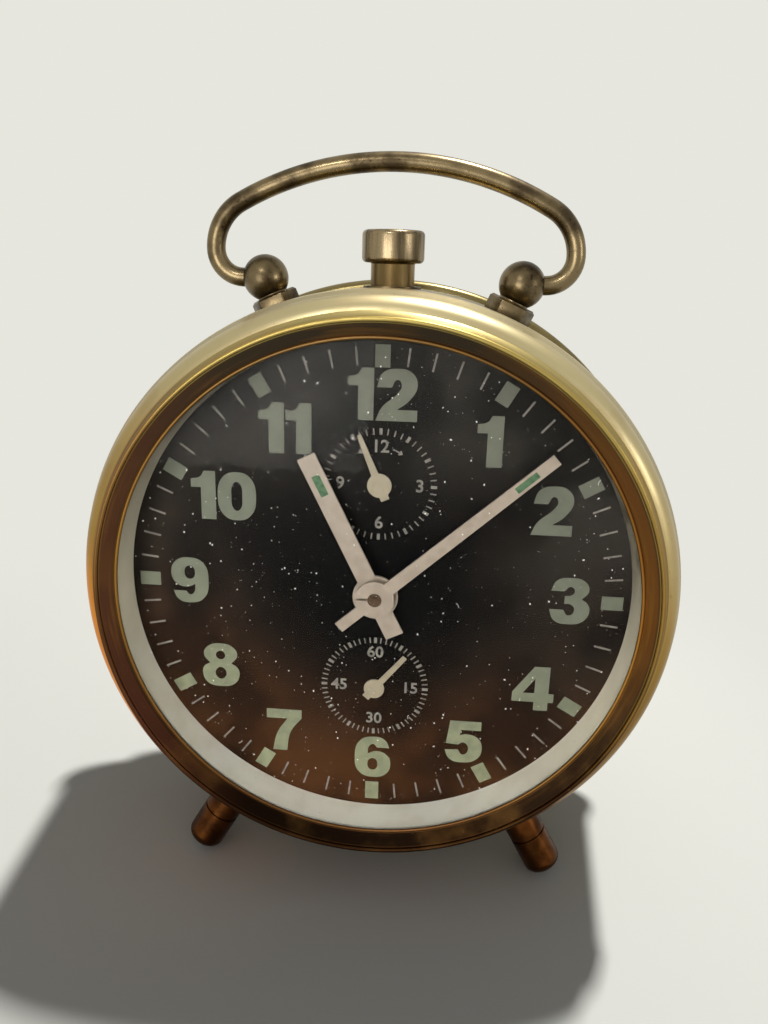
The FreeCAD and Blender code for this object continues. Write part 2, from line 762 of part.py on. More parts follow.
def make_bezel():
    """Bezel ring: bead at the glass, inner slope, crest, cove, wide outer band and skirt."""
    lip_y = glass_front_y
    slope_foot = lip_y - SLOPE_FOOT_RISE
    crest_middle = (slope_outer + crest_outer) / 2
    band_middle = (cove_outer + bezel_radius) / 2
    band_y = (COVE_FOOT_Y + BEZEL_WIDEST_Y) / 2
    bulge = (band_middle + BAND_BULGE_OUT, band_y - BAND_BULGE_FORWARD)
    inside_band = (cove_outer - BEZEL_METAL, COVE_FOOT_Y + BEZEL_METAL)
    skirt_end = seat_y - BEZEL_SHOULDER_GAP
    glass_wall = glass_radius + GLASS_SIDE_GAP
    return turned([
        (view_radius, lip_y),
        ((view_radius + BEAD / 2, lip_y - BEAD_RISE), (bead_outer, slope_foot)),
        (slope_outer, CREST_EDGE_Y),
        ((crest_middle, CREST_Y), (crest_outer, CREST_EDGE_Y)),
        ((crest_outer + COVE / 3, (CREST_EDGE_Y + COVE_FOOT_Y) / 2), (cove_outer, COVE_FOOT_Y)),
        (bulge, (bezel_radius, BEZEL_WIDEST_Y)),
        (bezel_radius, skirt_end),
        (skirt_inner, skirt_end),
        (skirt_inner, BEZEL_WIDEST_Y - BAND_WALL_STEP),
        ((band_middle, band_y + BEZEL_METAL), inside_band),
        (crest_middle, CREST_EDGE_Y + 1.6 * BEZEL_METAL),
        (glass_wall, lip_y),
    ])


def make_glass():
    """Flat glass with broken edges."""
    edge = GLASS_THICKNESS / 5
    return turned([
        (0.0, glass_rear_y),
        (glass_radius, glass_rear_y),
        (glass_radius, glass_front_y + edge),
        (glass_radius - edge, glass_front_y),
        (0.0, glass_front_y),
    ])


def make_light_ring():
    """White ring between the dial and the glass, with a foot on the dial."""
    foot_outer = neck_inner - RING_SIDE_GAP
    front_inner = view_radius + RING_FLARE
    return turned([
        (view_radius, 0.0),
        (front_inner, glass_rear_y),
        (glass_radius, glass_rear_y),
        (glass_radius, glass_rear_y + RING_WALL),
        (front_inner + RING_WALL, glass_rear_y + RING_WALL),
        (view_radius + RING_WALL, -RING_FOOT),
        (foot_outer, -RING_FOOT),
        (foot_outer, 0.0),
    ])


def make_dial():
    """Dial plate with holes for the hour pipe and the two small arbors."""
    plate = disc(neck_inner - RING_SIDE_GAP, 0.0, DIAL_THICKNESS)
    return plate.cut([
        disc(HOUR_PIPE_RADIUS + DIAL_HOLE_GAP, -PAST, DIAL_THICKNESS + PAST),
        disc(PIVOT_RADIUS + DIAL_HOLE_GAP, -PAST, DIAL_THICKNESS + PAST, SECONDS),
        disc(ARBOR_RADIUS + DIAL_HOLE_GAP, -PAST, DIAL_THICKNESS + PAST, ALARM),
    ])


def cover_screw_places():
    """Places of the screws that hold the back cover to the ledge."""
    circle = case_inner - COVER_LEDGE_WIDTH / 2 - COVER_SIDE_GAP / 2
    return [polar(circle, 60 + 360 * k / COVER_SCREW_COUNT) for k in range(COVER_SCREW_COUNT)]


def slotted_head(radius, height, y0, place, turn):
    """Round screw head with a driver slot in its rear face."""
    head = disc(radius, y0, y0 + height, place)
    far = polar(radius + PAST, turn, *place)
    near = polar(-radius - PAST, turn, *place)
    slot = bar(near, far, SCREW_SLOT_WIDTH / 2, y0 + height - SCREW_SLOT_DEPTH, y0 + height + PAST)
    return head.cut(slot)


def make_cover_screws():
    """Screws of the back cover."""
    screws = []
    for k, place in enumerate(cover_screw_places()):
        seat = ledge_rear + COVER_THICKNESS
        turn = COVER_SLOT_TURN + COVER_SLOT_TURN_STEP * k
        head = slotted_head(COVER_SCREW_HEAD_RADIUS, COVER_SCREW_HEAD_HEIGHT, seat, place, turn)
        shank = disc(COVER_SCREW_SHANK_RADIUS, seat - COVER_SCREW_LENGTH, seat, place)
        screws.append(fused(head, shank))
    return screws


def regulator_slot():
    """Curved slot that the regulator's tab sweeps."""
    half = REGULATOR_TAB_THICKNESS / 2 + COVER_HOLE_GAP / 2
    end_gap = math.degrees((REGULATOR_TAB_WIDTH / 2 + COVER_HOLE_GAP) / regulator_length)
    swing = REGULATOR_SWING + end_gap
    inner = regulator_length - half
    outer = regulator_length + half
    low = REGULATOR_ANGLE - swing
    high = REGULATOR_ANGLE + swing
    points = [
        polar(inner, low, *BALANCE),
        (polar(inner, REGULATOR_ANGLE, *BALANCE), polar(inner, high, *BALANCE)),
        polar(outer, high, *BALANCE),
        (polar(outer, REGULATOR_ANGLE, *BALANCE), polar(outer, low, *BALANCE)),
    ]
    return sheet(points, cover_inside - PAST, cover_rear + PAST)


def make_back_cover():
    """Pressed back cover with a raised middle, holes for the arbors and the gong stud."""
    cover = turned([
        (0.0, cover_inside),
        (cover_dome_radius - COVER_THICKNESS, cover_inside),
        (cover_foot - COVER_THICKNESS, ledge_rear),
        (cover_flange_outer, ledge_rear),
        (cover_flange_outer, ledge_rear + COVER_THICKNESS),
        (cover_foot, ledge_rear + COVER_THICKNESS),
        (cover_dome_radius, cover_rear),
        (0.0, cover_rear),
    ])
    cutters = [regulator_slot()]
    holes = [
        (CENTRE, CENTRE_ARBOR_RADIUS),
        (ALARM, ARBOR_RADIUS),
        (GREAT, WINDING_REAR_RADIUS),
        (ALARM_GREAT, WINDING_REAR_RADIUS),
    ]
    for place, radius in holes:
        cutters.append(disc(radius + COVER_HOLE_GAP, cover_inside - PAST, cover_rear + PAST, place))
    for place in cover_screw_places():
        hole = disc(COVER_SCREW_SHANK_RADIUS, ledge_rear - PAST, ledge_rear + 2 * PAST, place)
        cutters.append(hole)
    stud = disc(GONG_STUD_RADIUS, GONG_STUD_END_Y, cover_rear, GONG_STUD)
    return fused(cover.cut(cutters), stud)


# Handle, posts and feet
def handle_path():
    """Centre line of the handle: straight pins, curls, sides and a long crown."""
    curl = HANDLE_CURL_RADIUS
    crown = HANDLE_CROWN_RADIUS
    low = ball_z + curl
    crown_z = ball_z + HANDLE_HEIGHT - crown
    rise = low - crown_z
    half = HANDLE_HALF_WIDTH
    side = (crown ** 2 - half ** 2 - rise ** 2) / (2 * (crown - half))
    side_x = half - side
    tangent = math.atan2(side_x, rise)
    join = (crown * math.sin(tangent), crown_z + crown * math.cos(tangent))
    middle = (tangent + math.pi / 2) / 2
    on_side = (side_x + side * math.sin(middle), low + side * math.cos(middle))
    pin_end = ball_x - PIVOT_PAST_CENTRE + PIVOT_END_GAP
    bottom = half - curl
    diagonal = curl * math.sqrt(0.5)

    def at(x, z):
        return V(x, HANDLE_Y, z)

    arcs = [
        (at(-bottom, ball_z), at(-bottom - diagonal, low - diagonal), at(-half, low)),
        (at(-half, low), at(-on_side[0], on_side[1]), at(-join[0], join[1])),
        (at(-join[0], join[1]), at(0, ball_z + HANDLE_HEIGHT), at(*join)),
        (at(*join), at(*on_side), at(half, low)),
        (at(half, low), at(bottom + diagonal, low - diagonal), at(bottom, ball_z)),
    ]
    edges = [Part.makeLine(at(-pin_end, ball_z), at(-bottom, ball_z))]
    edges += [Part.Arc(start, via, end).toShape() for start, via, end in arcs]
    edges.append(Part.makeLine(at(bottom, ball_z), at(pin_end, ball_z)))
    return Part.Wire(edges)


def make_handle():
    """Round wire bent into the handle."""
    path = handle_path()
    start = path.Edges[0].Vertexes[0].Point
    section = Part.Wire([Part.makeCircle(HANDLE_WIRE_RADIUS, start, V(1, 0, 0))])
    wire = path.makePipeShell([section], True, False)
    expected = math.pi * HANDLE_WIRE_RADIUS ** 2 * path.Length
    print("handle volume / expected:", round(wire.Volume / expected, 5))
    return wire


def make_post(side):
    """Ball post: threaded stud, hexagonal flared base, neck and ball with a pivot hole."""
    base_top = CASE_RADIUS + POST_BASE_HEIGHT
    base = hex_bar(POST_BASE_ACROSS_FLATS, CASE_RADIUS - PAST, base_top)
    corner = POST_BASE_ACROSS_FLATS / math.sqrt(3)
    taper_low = base_top - PAST - POST_BASE_CHAMFER
    taper = Part.makeCone(
        corner + PAST, corner - POST_BASE_CHAMFER, PAST + POST_BASE_CHAMFER, V(0, 0, taper_low),
    )
    blank = Part.makeCylinder(corner + PAST, POST_BASE_HEIGHT, V(0, 0, taper_low - POST_BASE_HEIGHT))
    base = base.common(fused(taper, blank))
    base = base.cut(disc(CASE_RADIUS, -CASE_REAR_Y, CASE_REAR_Y))
    neck = Part.makeCone(
        POST_NECK_RADIUS + POST_NECK_FLARE, POST_NECK_RADIUS, ball_distance - base_top + PAST / 2,
        V(0, 0, base_top - PAST / 2),
    )
    ball = Part.makeSphere(BALL_RADIUS, V(0, 0, ball_distance))
    stud_start = case_inner - STUD_INSIDE_LENGTH
    stud = Part.makeCylinder(STUD_RADIUS, base_top - stud_start, V(0, 0, stud_start))
    post = fused(base, neck, ball, stud)
    post.translate(V(0, HANDLE_Y, 0))
    post = clockwise(post, side * post_angle)
    depth = BALL_RADIUS + PIVOT_PAST_CENTRE + PAST
    inner_end = side * (ball_x - PIVOT_PAST_CENTRE)
    hole = Part.makeCylinder(
        HANDLE_WIRE_RADIUS + PIVOT_GAP, depth, V(inner_end, HANDLE_Y, ball_z), V(side, 0, 0),
    )
    return post.cut(hole)


def make_foot(side):
    """Round foot on the drum, tilted forwards, with a rounded end and a stud inside the case."""
    groove = FOOT_GROOVE_AT
    shaft = Part.makeCylinder(FOOT_RADIUS, FOOT_LENGTH + 2 * PAST, V(0, 0, -FOOT_LENGTH))
    ends = [edge for edge in shaft.Edges if edge.BoundBox.ZMax < -FOOT_LENGTH / 2]
    shaft = shaft.makeFillet(FOOT_ROUND, ends)
    ring = Part.makeCylinder(FOOT_RADIUS + PAST, FOOT_GROOVE_WIDTH, V(0, 0, -groove))
    core = Part.makeCylinder(FOOT_RADIUS - FOOT_GROOVE_DEPTH, FOOT_GROOVE_WIDTH, V(0, 0, -groove))
    foot = shaft.cut(ring.cut(core))
    foot.rotate(ORIGIN, V(1, 0, 0), -FOOT_TILT)
    foot.translate(V(0, FOOT_Y, -CASE_RADIUS))
    foot = foot.cut(disc(CASE_RADIUS, -CASE_REAR_Y, CASE_REAR_Y))
    stud_length = STUD_INSIDE_LENGTH + CASE_WALL + PAST
    stud = Part.makeCylinder(STUD_RADIUS, stud_length, V(0, FOOT_Y, -CASE_RADIUS - PAST))
    return clockwise(fused(foot, stud), side * FOOT_ANGLE)


def make_case_nuts():
    """Hexagonal nuts inside the drum that hold the posts and the feet."""
    seat = case_inner - NUT_SEAT_GAP
    hole = Part.makeCylinder(STUD_RADIUS, NUT_HEIGHT + 2 * PAST, V(0, 0, seat - NUT_HEIGHT - PAST))
    nut = hex_bar(NUT_ACROSS_FLATS, seat - NUT_HEIGHT, seat).cut(hole)
    places = [(HANDLE_Y, -post_angle), (HANDLE_Y, post_angle)]
    places += [(FOOT_Y, 180 - FOOT_ANGLE), (FOOT_Y, 180 + FOOT_ANGLE)]
    return [clockwise(nut.translated(V(0, y, 0)), turn) for y, turn in places]


# Stop button
def bush_outer():
    """Outer radius of the bush that guides the button's stem."""
    return STEM_RADIUS + STEM_GAP + BUSH_WALL


def upright(radius, z0, z1, y=BUTTON_Y, x=0.0):
    """Round bar along Z in the middle plane of the clock."""
    return Part.makeCylinder(radius, z1 - z0, V(x, y, z0))


def make_button_bush():
    """Bush in the drum with a collar above the case."""
    bottom = CASE_RADIUS - BUSH_INSIDE
    sleeve = upright(bush_outer(), bottom, CASE_RADIUS + BUSH_COLLAR_HEIGHT)
    collar_radius = bush_outer() + BUSH_COLLAR_WIDTH
    collar = upright(collar_radius, CASE_RADIUS - PAST, CASE_RADIUS + BUSH_COLLAR_HEIGHT)
    collar = collar.cut(disc(CASE_RADIUS, -CASE_REAR_Y, CASE_REAR_Y))
    bore = upright(STEM_RADIUS + STEM_GAP, bottom - PAST, CASE_RADIUS + BUSH_COLLAR_HEIGHT + PAST)
    return fused(sleeve, collar).cut(bore)


def make_stop_button():
    """Button cap and stem in one turned piece, with a socket for the stop rod."""
    stem_bottom = CASE_RADIUS - STEM_INSIDE
    stem = upright(STEM_RADIUS, stem_bottom, cap_bottom + PAST)
    cap = upright(CAP_RADIUS, cap_bottom, cap_bottom + CAP_HEIGHT)
    rims = [edge for edge in cap.Edges if len(edge.Vertexes) == 1 and edge.Length > CAP_RADIUS]
    cap = cap.makeFillet(CAP_ROUND, rims)
    socket = upright(STOP_ROD_RADIUS, stem_bottom - PAST, stem_bottom + STEM_INSIDE)
    groove_low = CASE_RADIUS - BUSH_INSIDE - CLIP_GAP - CLIP_THICKNESS
    ring = upright(STEM_RADIUS + PAST, groove_low, groove_low + CLIP_THICKNESS)
    groove = ring.cut(upright(STEM_RADIUS - CLIP_WIDTH / 2, groove_low - PAST, groove_low + 2 * PAST))
    return fused(stem, cap).cut([socket, groove])


def make_button_clip():
    """Open ring in the stem's groove that keeps the button in its bush."""
    low = CASE_RADIUS - BUSH_INSIDE - CLIP_GAP - CLIP_THICKNESS
    ring = upright(STEM_RADIUS + CLIP_WIDTH / 2, low, low + CLIP_THICKNESS)
    ring = ring.cut(upright(STEM_RADIUS - CLIP_WIDTH / 2, low - PAST, low + 2 * PAST))
    half = STEM_RADIUS / 2
    mouth = box(-half, half, BUTTON_Y, BUTTON_Y + 2 * STEM_RADIUS, low - PAST, low + 2 * PAST)
    return ring.cut(mouth)


def hammer_wire_x(z):
    """Place of the hammer wire's centre line at a height."""
    share = (z - VERGE[1]) / (HAMMER[1] - VERGE[1])
    return VERGE[0] + share * (HAMMER[0] - VERGE[0])


def make_stop_rod():
    """Rod under the button with a side arm that blocks the hammer wire when it is down."""
    top = CASE_RADIUS
    rod = upright(STOP_ROD_RADIUS, STOP_ROD_END_Z, top)
    wire_y = level(HAMMER_WIRE_LEVEL)
    tip = hammer_wire_x(STOP_ARM_Z) + HAMMER_WIRE_RADIUS + STOP_ARM_WIRE_GAP
    arm = box(
        tip, STOP_ROD_RADIUS, wire_y - STOP_ARM_THICKNESS / 2, wire_y + STOP_ARM_THICKNESS / 2,
        STOP_ARM_Z - STOP_ARM_HEIGHT / 2, STOP_ARM_Z + STOP_ARM_HEIGHT / 2,
    )
    root = box(
        -STOP_ROD_RADIUS, STOP_ROD_RADIUS, BUTTON_Y, wire_y,
        STOP_ARM_Z - STOP_ARM_HEIGHT / 2, STOP_ARM_Z + STOP_ARM_HEIGHT / 2,
    )
    return fused(rod, arm, root)


def make_rod_guide():
    """Angle bracket on the back plate that guides the stop rod."""
    tongue = box(
        -GUIDE_HALF_WIDTH, GUIDE_HALF_WIDTH, back_plate_y - GUIDE_REACH, back_plate_y,
        GUIDE_Z, GUIDE_Z + GUIDE_THICKNESS,
    )
    foot = box(
        -GUIDE_HALF_WIDTH, GUIDE_HALF_WIDTH, back_plate_y - GUIDE_THICKNESS, back_plate_y,
        GUIDE_Z + GUIDE_THICKNESS - GUIDE_FOOT_HEIGHT, GUIDE_Z + GUIDE_THICKNESS,
    )
    hole = upright(STOP_ROD_RADIUS + STOP_ROD_GAP, GUIDE_Z - PAST, GUIDE_Z + 2 * PAST)
    return fused(tongue, foot).cut(hole)


# Movement frame
def make_front_plate():
    """Front plate with three ears, bearing holes and the minute wheel's stud."""
    rear = front_plate_rear
    plate = disc(FRONT_PLATE_RADIUS, FRONT_PLATE_Y, rear)
    ears = []
    cutters = []
    for place in EARS:
        turn = direction(CENTRE, place)
        end = polar(ear_circle + EAR_MARGIN, turn)
        ears.append(bar(CENTRE, end, EAR_HALF_WIDTH, FRONT_PLATE_Y, rear))
        cutters.append(disc(MOVEMENT_SCREW_RADIUS + SCREW_GAP, FRONT_PLATE_Y - PAST, rear + PAST, place))
    bearings = [
        (CENTRE, CANNON_RADIUS + BEARING_GAP),
        (SECONDS, PIVOT_RADIUS + BEARING_GAP),
        (THIRD, PIVOT_RADIUS + BEARING_GAP),
        (ESCAPE, PIVOT_RADIUS + BEARING_GAP),
        (LEVER, PIVOT_RADIUS + BEARING_GAP),
        (ALARM, ARBOR_RADIUS + BEARING_GAP),
        (GREAT, WINDING_FRONT_PIVOT_RADIUS + BEARING_GAP),
        (ALARM_GREAT, WINDING_FRONT_PIVOT_RADIUS + BEARING_GAP),
        (ALARM_ESCAPE, PIVOT_RADIUS + BEARING_GAP),
        (VERGE, PIVOT_RADIUS + BEARING_GAP),
        (BALANCE, BEARING_SCREW_RADIUS),
    ]
    bearings += [(place, PILLAR_STUB_RADIUS) for place in PILLARS]
    for place, radius in bearings:
        cutters.append(disc(radius, FRONT_PLATE_Y - PAST, rear + PAST, place))
    finger = RELEASE_FINGER_WIDTH / 2 + RUNNING_GAP + COVER_HOLE_GAP / 2
    cutters.append(box(
        RELEASE_FINGER_X - finger, RELEASE_FINGER_X + finger, FRONT_PLATE_Y - PAST, rear + PAST,
        RELEASE_FINGER_Z - finger, RELEASE_FINGER_Z + finger,
    ))
    cutters.append(disc(
        RELEASE_RIVET_RADIUS, FRONT_PLATE_Y - PAST, rear + PAST, (RELEASE_RIVET_X, RELEASE_RIVET_Z),
    ))
    stud = disc(MINUTE_STUD_RADIUS, MINUTE_PINION_Y - MINUTE_STUD_PROUD, rear, MINUTE)
    return fused(plate, *ears).cut(cutters).fuse(stud).removeSplitter()


def make_back_plate():
    """Back plate with bearing holes and the hairspring's stud."""
    plate = disc(BACK_PLATE_RADIUS, back_plate_y, back_plate_rear)
    bearings = [
        (CENTRE, CENTRE_ARBOR_RADIUS + BEARING_GAP),
        (SECONDS, PIVOT_RADIUS + BEARING_GAP),
        (THIRD, PIVOT_RADIUS + BEARING_GAP),
        (ESCAPE, PIVOT_RADIUS + BEARING_GAP),
        (LEVER, PIVOT_RADIUS + BEARING_GAP),
        (ALARM, ARBOR_RADIUS + BEARING_GAP),
        (GREAT, WINDING_REAR_RADIUS + BEARING_GAP),
        (ALARM_GREAT, WINDING_REAR_RADIUS + BEARING_GAP),
        (ALARM_ESCAPE, PIVOT_RADIUS + BEARING_GAP),
        (VERGE, PIVOT_RADIUS + BEARING_GAP),
        (BALANCE, BEARING_SCREW_RADIUS),
        (GONG_STUD, GONG_STUD_RADIUS + COVER_HOLE_GAP),
    ]
    bearings += [(place, PILLAR_STUB_RADIUS) for place in PILLARS]
    holes = []
    for place, radius in bearings:
        holes.append(disc(radius, back_plate_y - PAST, back_plate_rear + PAST, place))
    stud = disc(HAIR_STUD_RADIUS, level(HAIRSPRING_LEVEL), back_plate_rear, hair_stud_place)
    return fused(plate.cut(holes), stud)


def make_pillars():
    """Pillars between the plates, with stubs that pass through both."""
    stub_end = back_plate_rear + PILLAR_NUT_HEIGHT + PILLAR_STUB_PROUD
    stretches = [
        (PILLAR_STUB_RADIUS, FRONT_PLATE_Y, front_plate_rear),
        (PILLAR_RADIUS, front_plate_rear, back_plate_y),
        (PILLAR_STUB_RADIUS, back_plate_y, stub_end),
    ]
    return [stepped_bar(stretches, place) for place in PILLARS]


def make_pillar_nuts():
    """Hexagonal nuts behind the back plate."""
    nuts = []
    corner = PILLAR_NUT_ACROSS_FLATS / math.sqrt(3)
    for place in PILLARS:
        corners = [polar(corner, 60 * k, *place) for k in range(6)]
        nut = sheet(corners, back_plate_rear, back_plate_rear + PILLAR_NUT_HEIGHT)
        nuts.append(nut.cut(disc(PILLAR_STUB_RADIUS, back_plate_y, back_plate_rear + 3 * PAST, place)))
    return nuts


def make_spacers():
    """Sleeves between the dial seat and the front plate's ears."""
    bore = MOVEMENT_SCREW_RADIUS + SCREW_GAP
    return [tube(SPACER_RADIUS, bore, seat_y + CASE_WALL, FRONT_PLATE_Y, place) for place in EARS]


def make_movement_screws():
    """Screws through the ears and sleeves into the dial seat."""
    screws = []
    for place in EARS:
        head = slotted_head(
            MOVEMENT_SCREW_HEAD_RADIUS, MOVEMENT_SCREW_HEAD_HEIGHT, front_plate_rear, place,
            direction(CENTRE, place),
        )
        shank = disc(MOVEMENT_SCREW_RADIUS, seat_y + MOVEMENT_SCREW_END_GAP, front_plate_rear, place)
        screws.append(fused(head, shank))
    return screws


# Hands
def hand_blank(length, tail, hub, widths, y_rear, thickness):
    """Hand that points to twelve: hub disc, tapered blade and square tail."""
    root_width, tip_width, tail_width = widths
    y0 = y_rear - thickness
    blade = bar(CENTRE, (0.0, length), root_width / 2, y0, y_rear, tip_width / 2)
    tail_bar = bar(CENTRE, (0.0, -tail), tail_width / 2, y0, y_rear)
    return fused(disc(hub, y0, y_rear), blade, tail_bar)


def slot_block(at, length, width, y0, y1):
    """Block in a hand's blade, centred at a distance from the hub."""
    return box(-width / 2, width / 2, y0, y1, at - length / 2, at + length / 2)


def make_hour_hand():
    """Hour hand with a slot for the luminous strip."""
    widths = (HOUR_HAND_WIDTH, HOUR_HAND_WIDTH, HOUR_HAND_WIDTH)
    hand = hand_blank(
        HOUR_HAND_LENGTH, HOUR_HAND_TAIL, HOUR_HUB_RADIUS, widths, HOUR_HAND_Y, HAND_THICKNESS,
    )
    front = HOUR_HAND_Y - HAND_THICKNESS
    slot = slot_block(HOUR_SLOT_AT, HOUR_SLOT_LENGTH, HOUR_SLOT_WIDTH, front - PAST, HOUR_HAND_Y + PAST)
    bore = disc(HOUR_PIPE_RADIUS, front - PAST, HOUR_HAND_Y + PAST)
    return clockwise(hand.cut([slot, bore]), HOUR_HAND_ANGLE)


def make_minute_hand():
    """Minute hand with a luminous slot and a hub slit open at its edge."""
    widths = (MINUTE_HAND_WIDTH, MINUTE_TIP_WIDTH, MINUTE_TIP_WIDTH)
    hand = hand_blank(
        MINUTE_HAND_LENGTH, MINUTE_HAND_TAIL, MINUTE_HUB_RADIUS, widths, MINUTE_HAND_Y, HAND_THICKNESS,
    )
    front = MINUTE_HAND_Y - HAND_THICKNESS
    slot = slot_block(
        MINUTE_SLOT_AT, MINUTE_SLOT_LENGTH, MINUTE_SLOT_WIDTH, front - PAST, MINUTE_HAND_Y + PAST,
    )
    bore = disc(CANNON_RADIUS, front - PAST, MINUTE_HAND_Y + PAST)
    slit = box(
        -MINUTE_SLIT_WIDTH / 2, MINUTE_SLIT_WIDTH / 2, front - PAST, MINUTE_HAND_Y + PAST,
        0, MINUTE_HUB_RADIUS + PAST,
    )
    slit = clockwise(slit, MINUTE_SLIT_ANGLE)
    return clockwise(hand.cut([slot, bore, slit]), MINUTE_HAND_ANGLE)


def make_lume(at, length, width, hand_y, angle):
    """Luminous strip in a hand's slot."""
    front = hand_y - HAND_THICKNESS
    inset = (HAND_THICKNESS - LUME_THICKNESS) / 2
    strip = slot_block(at, length, width, front + inset, front + inset + LUME_THICKNESS)
    return clockwise(strip, angle)


def small_hand(length, tail, hub, widths, hand_y, angle, place, bore):
    """Hand of a small dial, pressed on its arbor."""
    hand = hand_blank(length, tail, hub, widths, hand_y, SMALL_HAND_THICKNESS)
    hand = hand.cut(disc(bore, hand_y - SMALL_HAND_THICKNESS / 2, hand_y + PAST))
    return clockwise(hand, angle).translated(V(place[0], 0, place[1]))


def make_alarm_hand():
    """Alarm hand with a closed cap over the end of its arbor."""
    widths = (ALARM_HAND_WIDTH, ALARM_TIP_WIDTH, ALARM_TAIL_WIDTH)
    return small_hand(
        ALARM_HAND_LENGTH, ALARM_HAND_TAIL, ALARM_HAND_HUB, widths, ALARM_HAND_Y, ALARM_HAND_ANGLE,
        ALARM, ARBOR_RADIUS,
    )


def make_seconds_hand():
    """Seconds hand with a closed cap over the end of its arbor."""
    widths = (SECONDS_HAND_WIDTH, SECONDS_TIP_WIDTH, SECONDS_TAIL_WIDTH)
    return small_hand(
        SECONDS_HAND_LENGTH, SECONDS_HAND_TAIL, SECONDS_HAND_HUB, widths, SECONDS_HAND_Y,
        SECONDS_HAND_ANGLE, SECONDS, PIVOT_RADIUS,
    )


# Tooth phases, each mate set from the wheel before it
CENTRE_PINION_PHASE = meshed_phase(GREAT_TEETH, 0.0, GREAT, CENTRE_LEAVES, CENTRE)
THIRD_PINION_PHASE = meshed_phase(CENTRE_TEETH, 0.0, CENTRE, THIRD_LEAVES, THIRD)
FOURTH_PINION_PHASE = meshed_phase(THIRD_TEETH, 0.0, THIRD, FOURTH_LEAVES, SECONDS)
ESCAPE_PINION_PHASE = meshed_phase(FOURTH_TEETH, 0.0, SECONDS, ESCAPE_LEAVES, ESCAPE)
MINUTE_WHEEL_PHASE = meshed_phase(CANNON_LEAVES, 0.0, CENTRE, MINUTE_TEETH, MINUTE)
HOUR_WHEEL_PHASE = meshed_phase(MINUTE_LEAVES, 0.0, MINUTE, HOUR_TEETH, CENTRE)
ALARM_WHEEL_PHASE = meshed_phase(MINUTE_LEAVES, 0.0, MINUTE, HOUR_TEETH, ALARM)
ALARM_PINION_PHASE = meshed_phase(ALARM_GREAT_TEETH, 0.0, ALARM_GREAT, ALARM_ESCAPE_LEAVES, ALARM_ESCAPE)


# Motion work
def make_centre_arbor():
    """Arbor of the minute hand, from the hand post to the setting knob."""
    knob_end = cover_rear + KNOB_FRONT_GAP + SET_KNOB_LENGTH
    return disc(CENTRE_ARBOR_RADIUS, POST_END_Y, knob_end - PAST)


def make_centre_wheel():
    """Centre wheel with its pinion on one sleeve around the centre arbor."""
    y0 = level(CENTRE_LEVEL)
    wheel = spoked_wheel(CENTRE_TEETH, CENTRE_MODULE, 0.0, CENTRE, y0, CENTRE_THICKNESS)
    pinion_y = level(CENTRE_PINION_LEVEL)
    pinion = gear(
        CENTRE_LEAVES, GREAT_MODULE, PINION_LEAF, CENTRE_PINION_PHASE, CENTRE,
        pinion_y, pinion_y + CENTRE_PINION_LENGTH,
    )
    sleeve = disc(CENTRE_ARBOR_RADIUS + ARBOR_RADIUS, pinion_y, y0 + CENTRE_THICKNESS)
    bore = disc(CENTRE_ARBOR_RADIUS + CANNON_BORE_GAP, pinion_y - PAST, y0 + 2 * PAST)
    return fused(wheel, pinion, sleeve).cut(bore)


def make_cannon_pinion():
    """Cannon pinion with the pipe that carries the minute hand."""
    y0 = MINUTE_WHEEL_Y - CANNON_FACE_GAP
    y1 = FRONT_PLATE_Y - CANNON_PLATE_GAP
    pinion = gear(CANNON_LEAVES, cannon_module, PINION_LEAF, 0.0, CENTRE, y0, y1)
    pipe = disc(CANNON_RADIUS, MINUTE_HAND_Y - HAND_THICKNESS - PIPE_PROUD, level(CANNON_PIPE_PAST))
    bore = disc(CENTRE_ARBOR_RADIUS + CANNON_BORE_GAP, POST_END_Y - PAST, level(PAST))
    return fused(pinion, pipe).cut(bore)


def make_hour_wheel():
    """Hour wheel with the pipe that carries the hour hand."""
    y1 = HOUR_WHEEL_Y + MOTION_WHEEL_THICKNESS
    wheel = gear(HOUR_TEETH, motion_module, WHEEL_TOOTH, HOUR_WHEEL_PHASE, CENTRE, HOUR_WHEEL_Y, y1)
    pipe = disc(HOUR_PIPE_RADIUS, HOUR_HAND_Y - HAND_THICKNESS - PIPE_PROUD, y1)
    bore = disc(CANNON_RADIUS + RUNNING_GAP, HOUR_HAND_Y - 2 * PAST, y1 + PAST)
    return fused(wheel, pipe).cut(bore)


def make_minute_wheel():
    """Minute wheel and pinion on the front plate's stud."""
    y1 = MINUTE_WHEEL_Y + MOTION_WHEEL_THICKNESS
    wheel = gear(
        MINUTE_TEETH, cannon_module, WHEEL_TOOTH, MINUTE_WHEEL_PHASE, MINUTE, MINUTE_WHEEL_Y, y1,
    )
    pinion = gear(MINUTE_LEAVES, motion_module, PINION_LEAF, 0.0, MINUTE, MINUTE_PINION_Y, MINUTE_WHEEL_Y)
    bore = disc(MINUTE_STUD_RADIUS + RUNNING_GAP, MINUTE_PINION_Y - PAST, y1 + PAST, MINUTE)
    return fused(wheel, pinion).cut(bore)


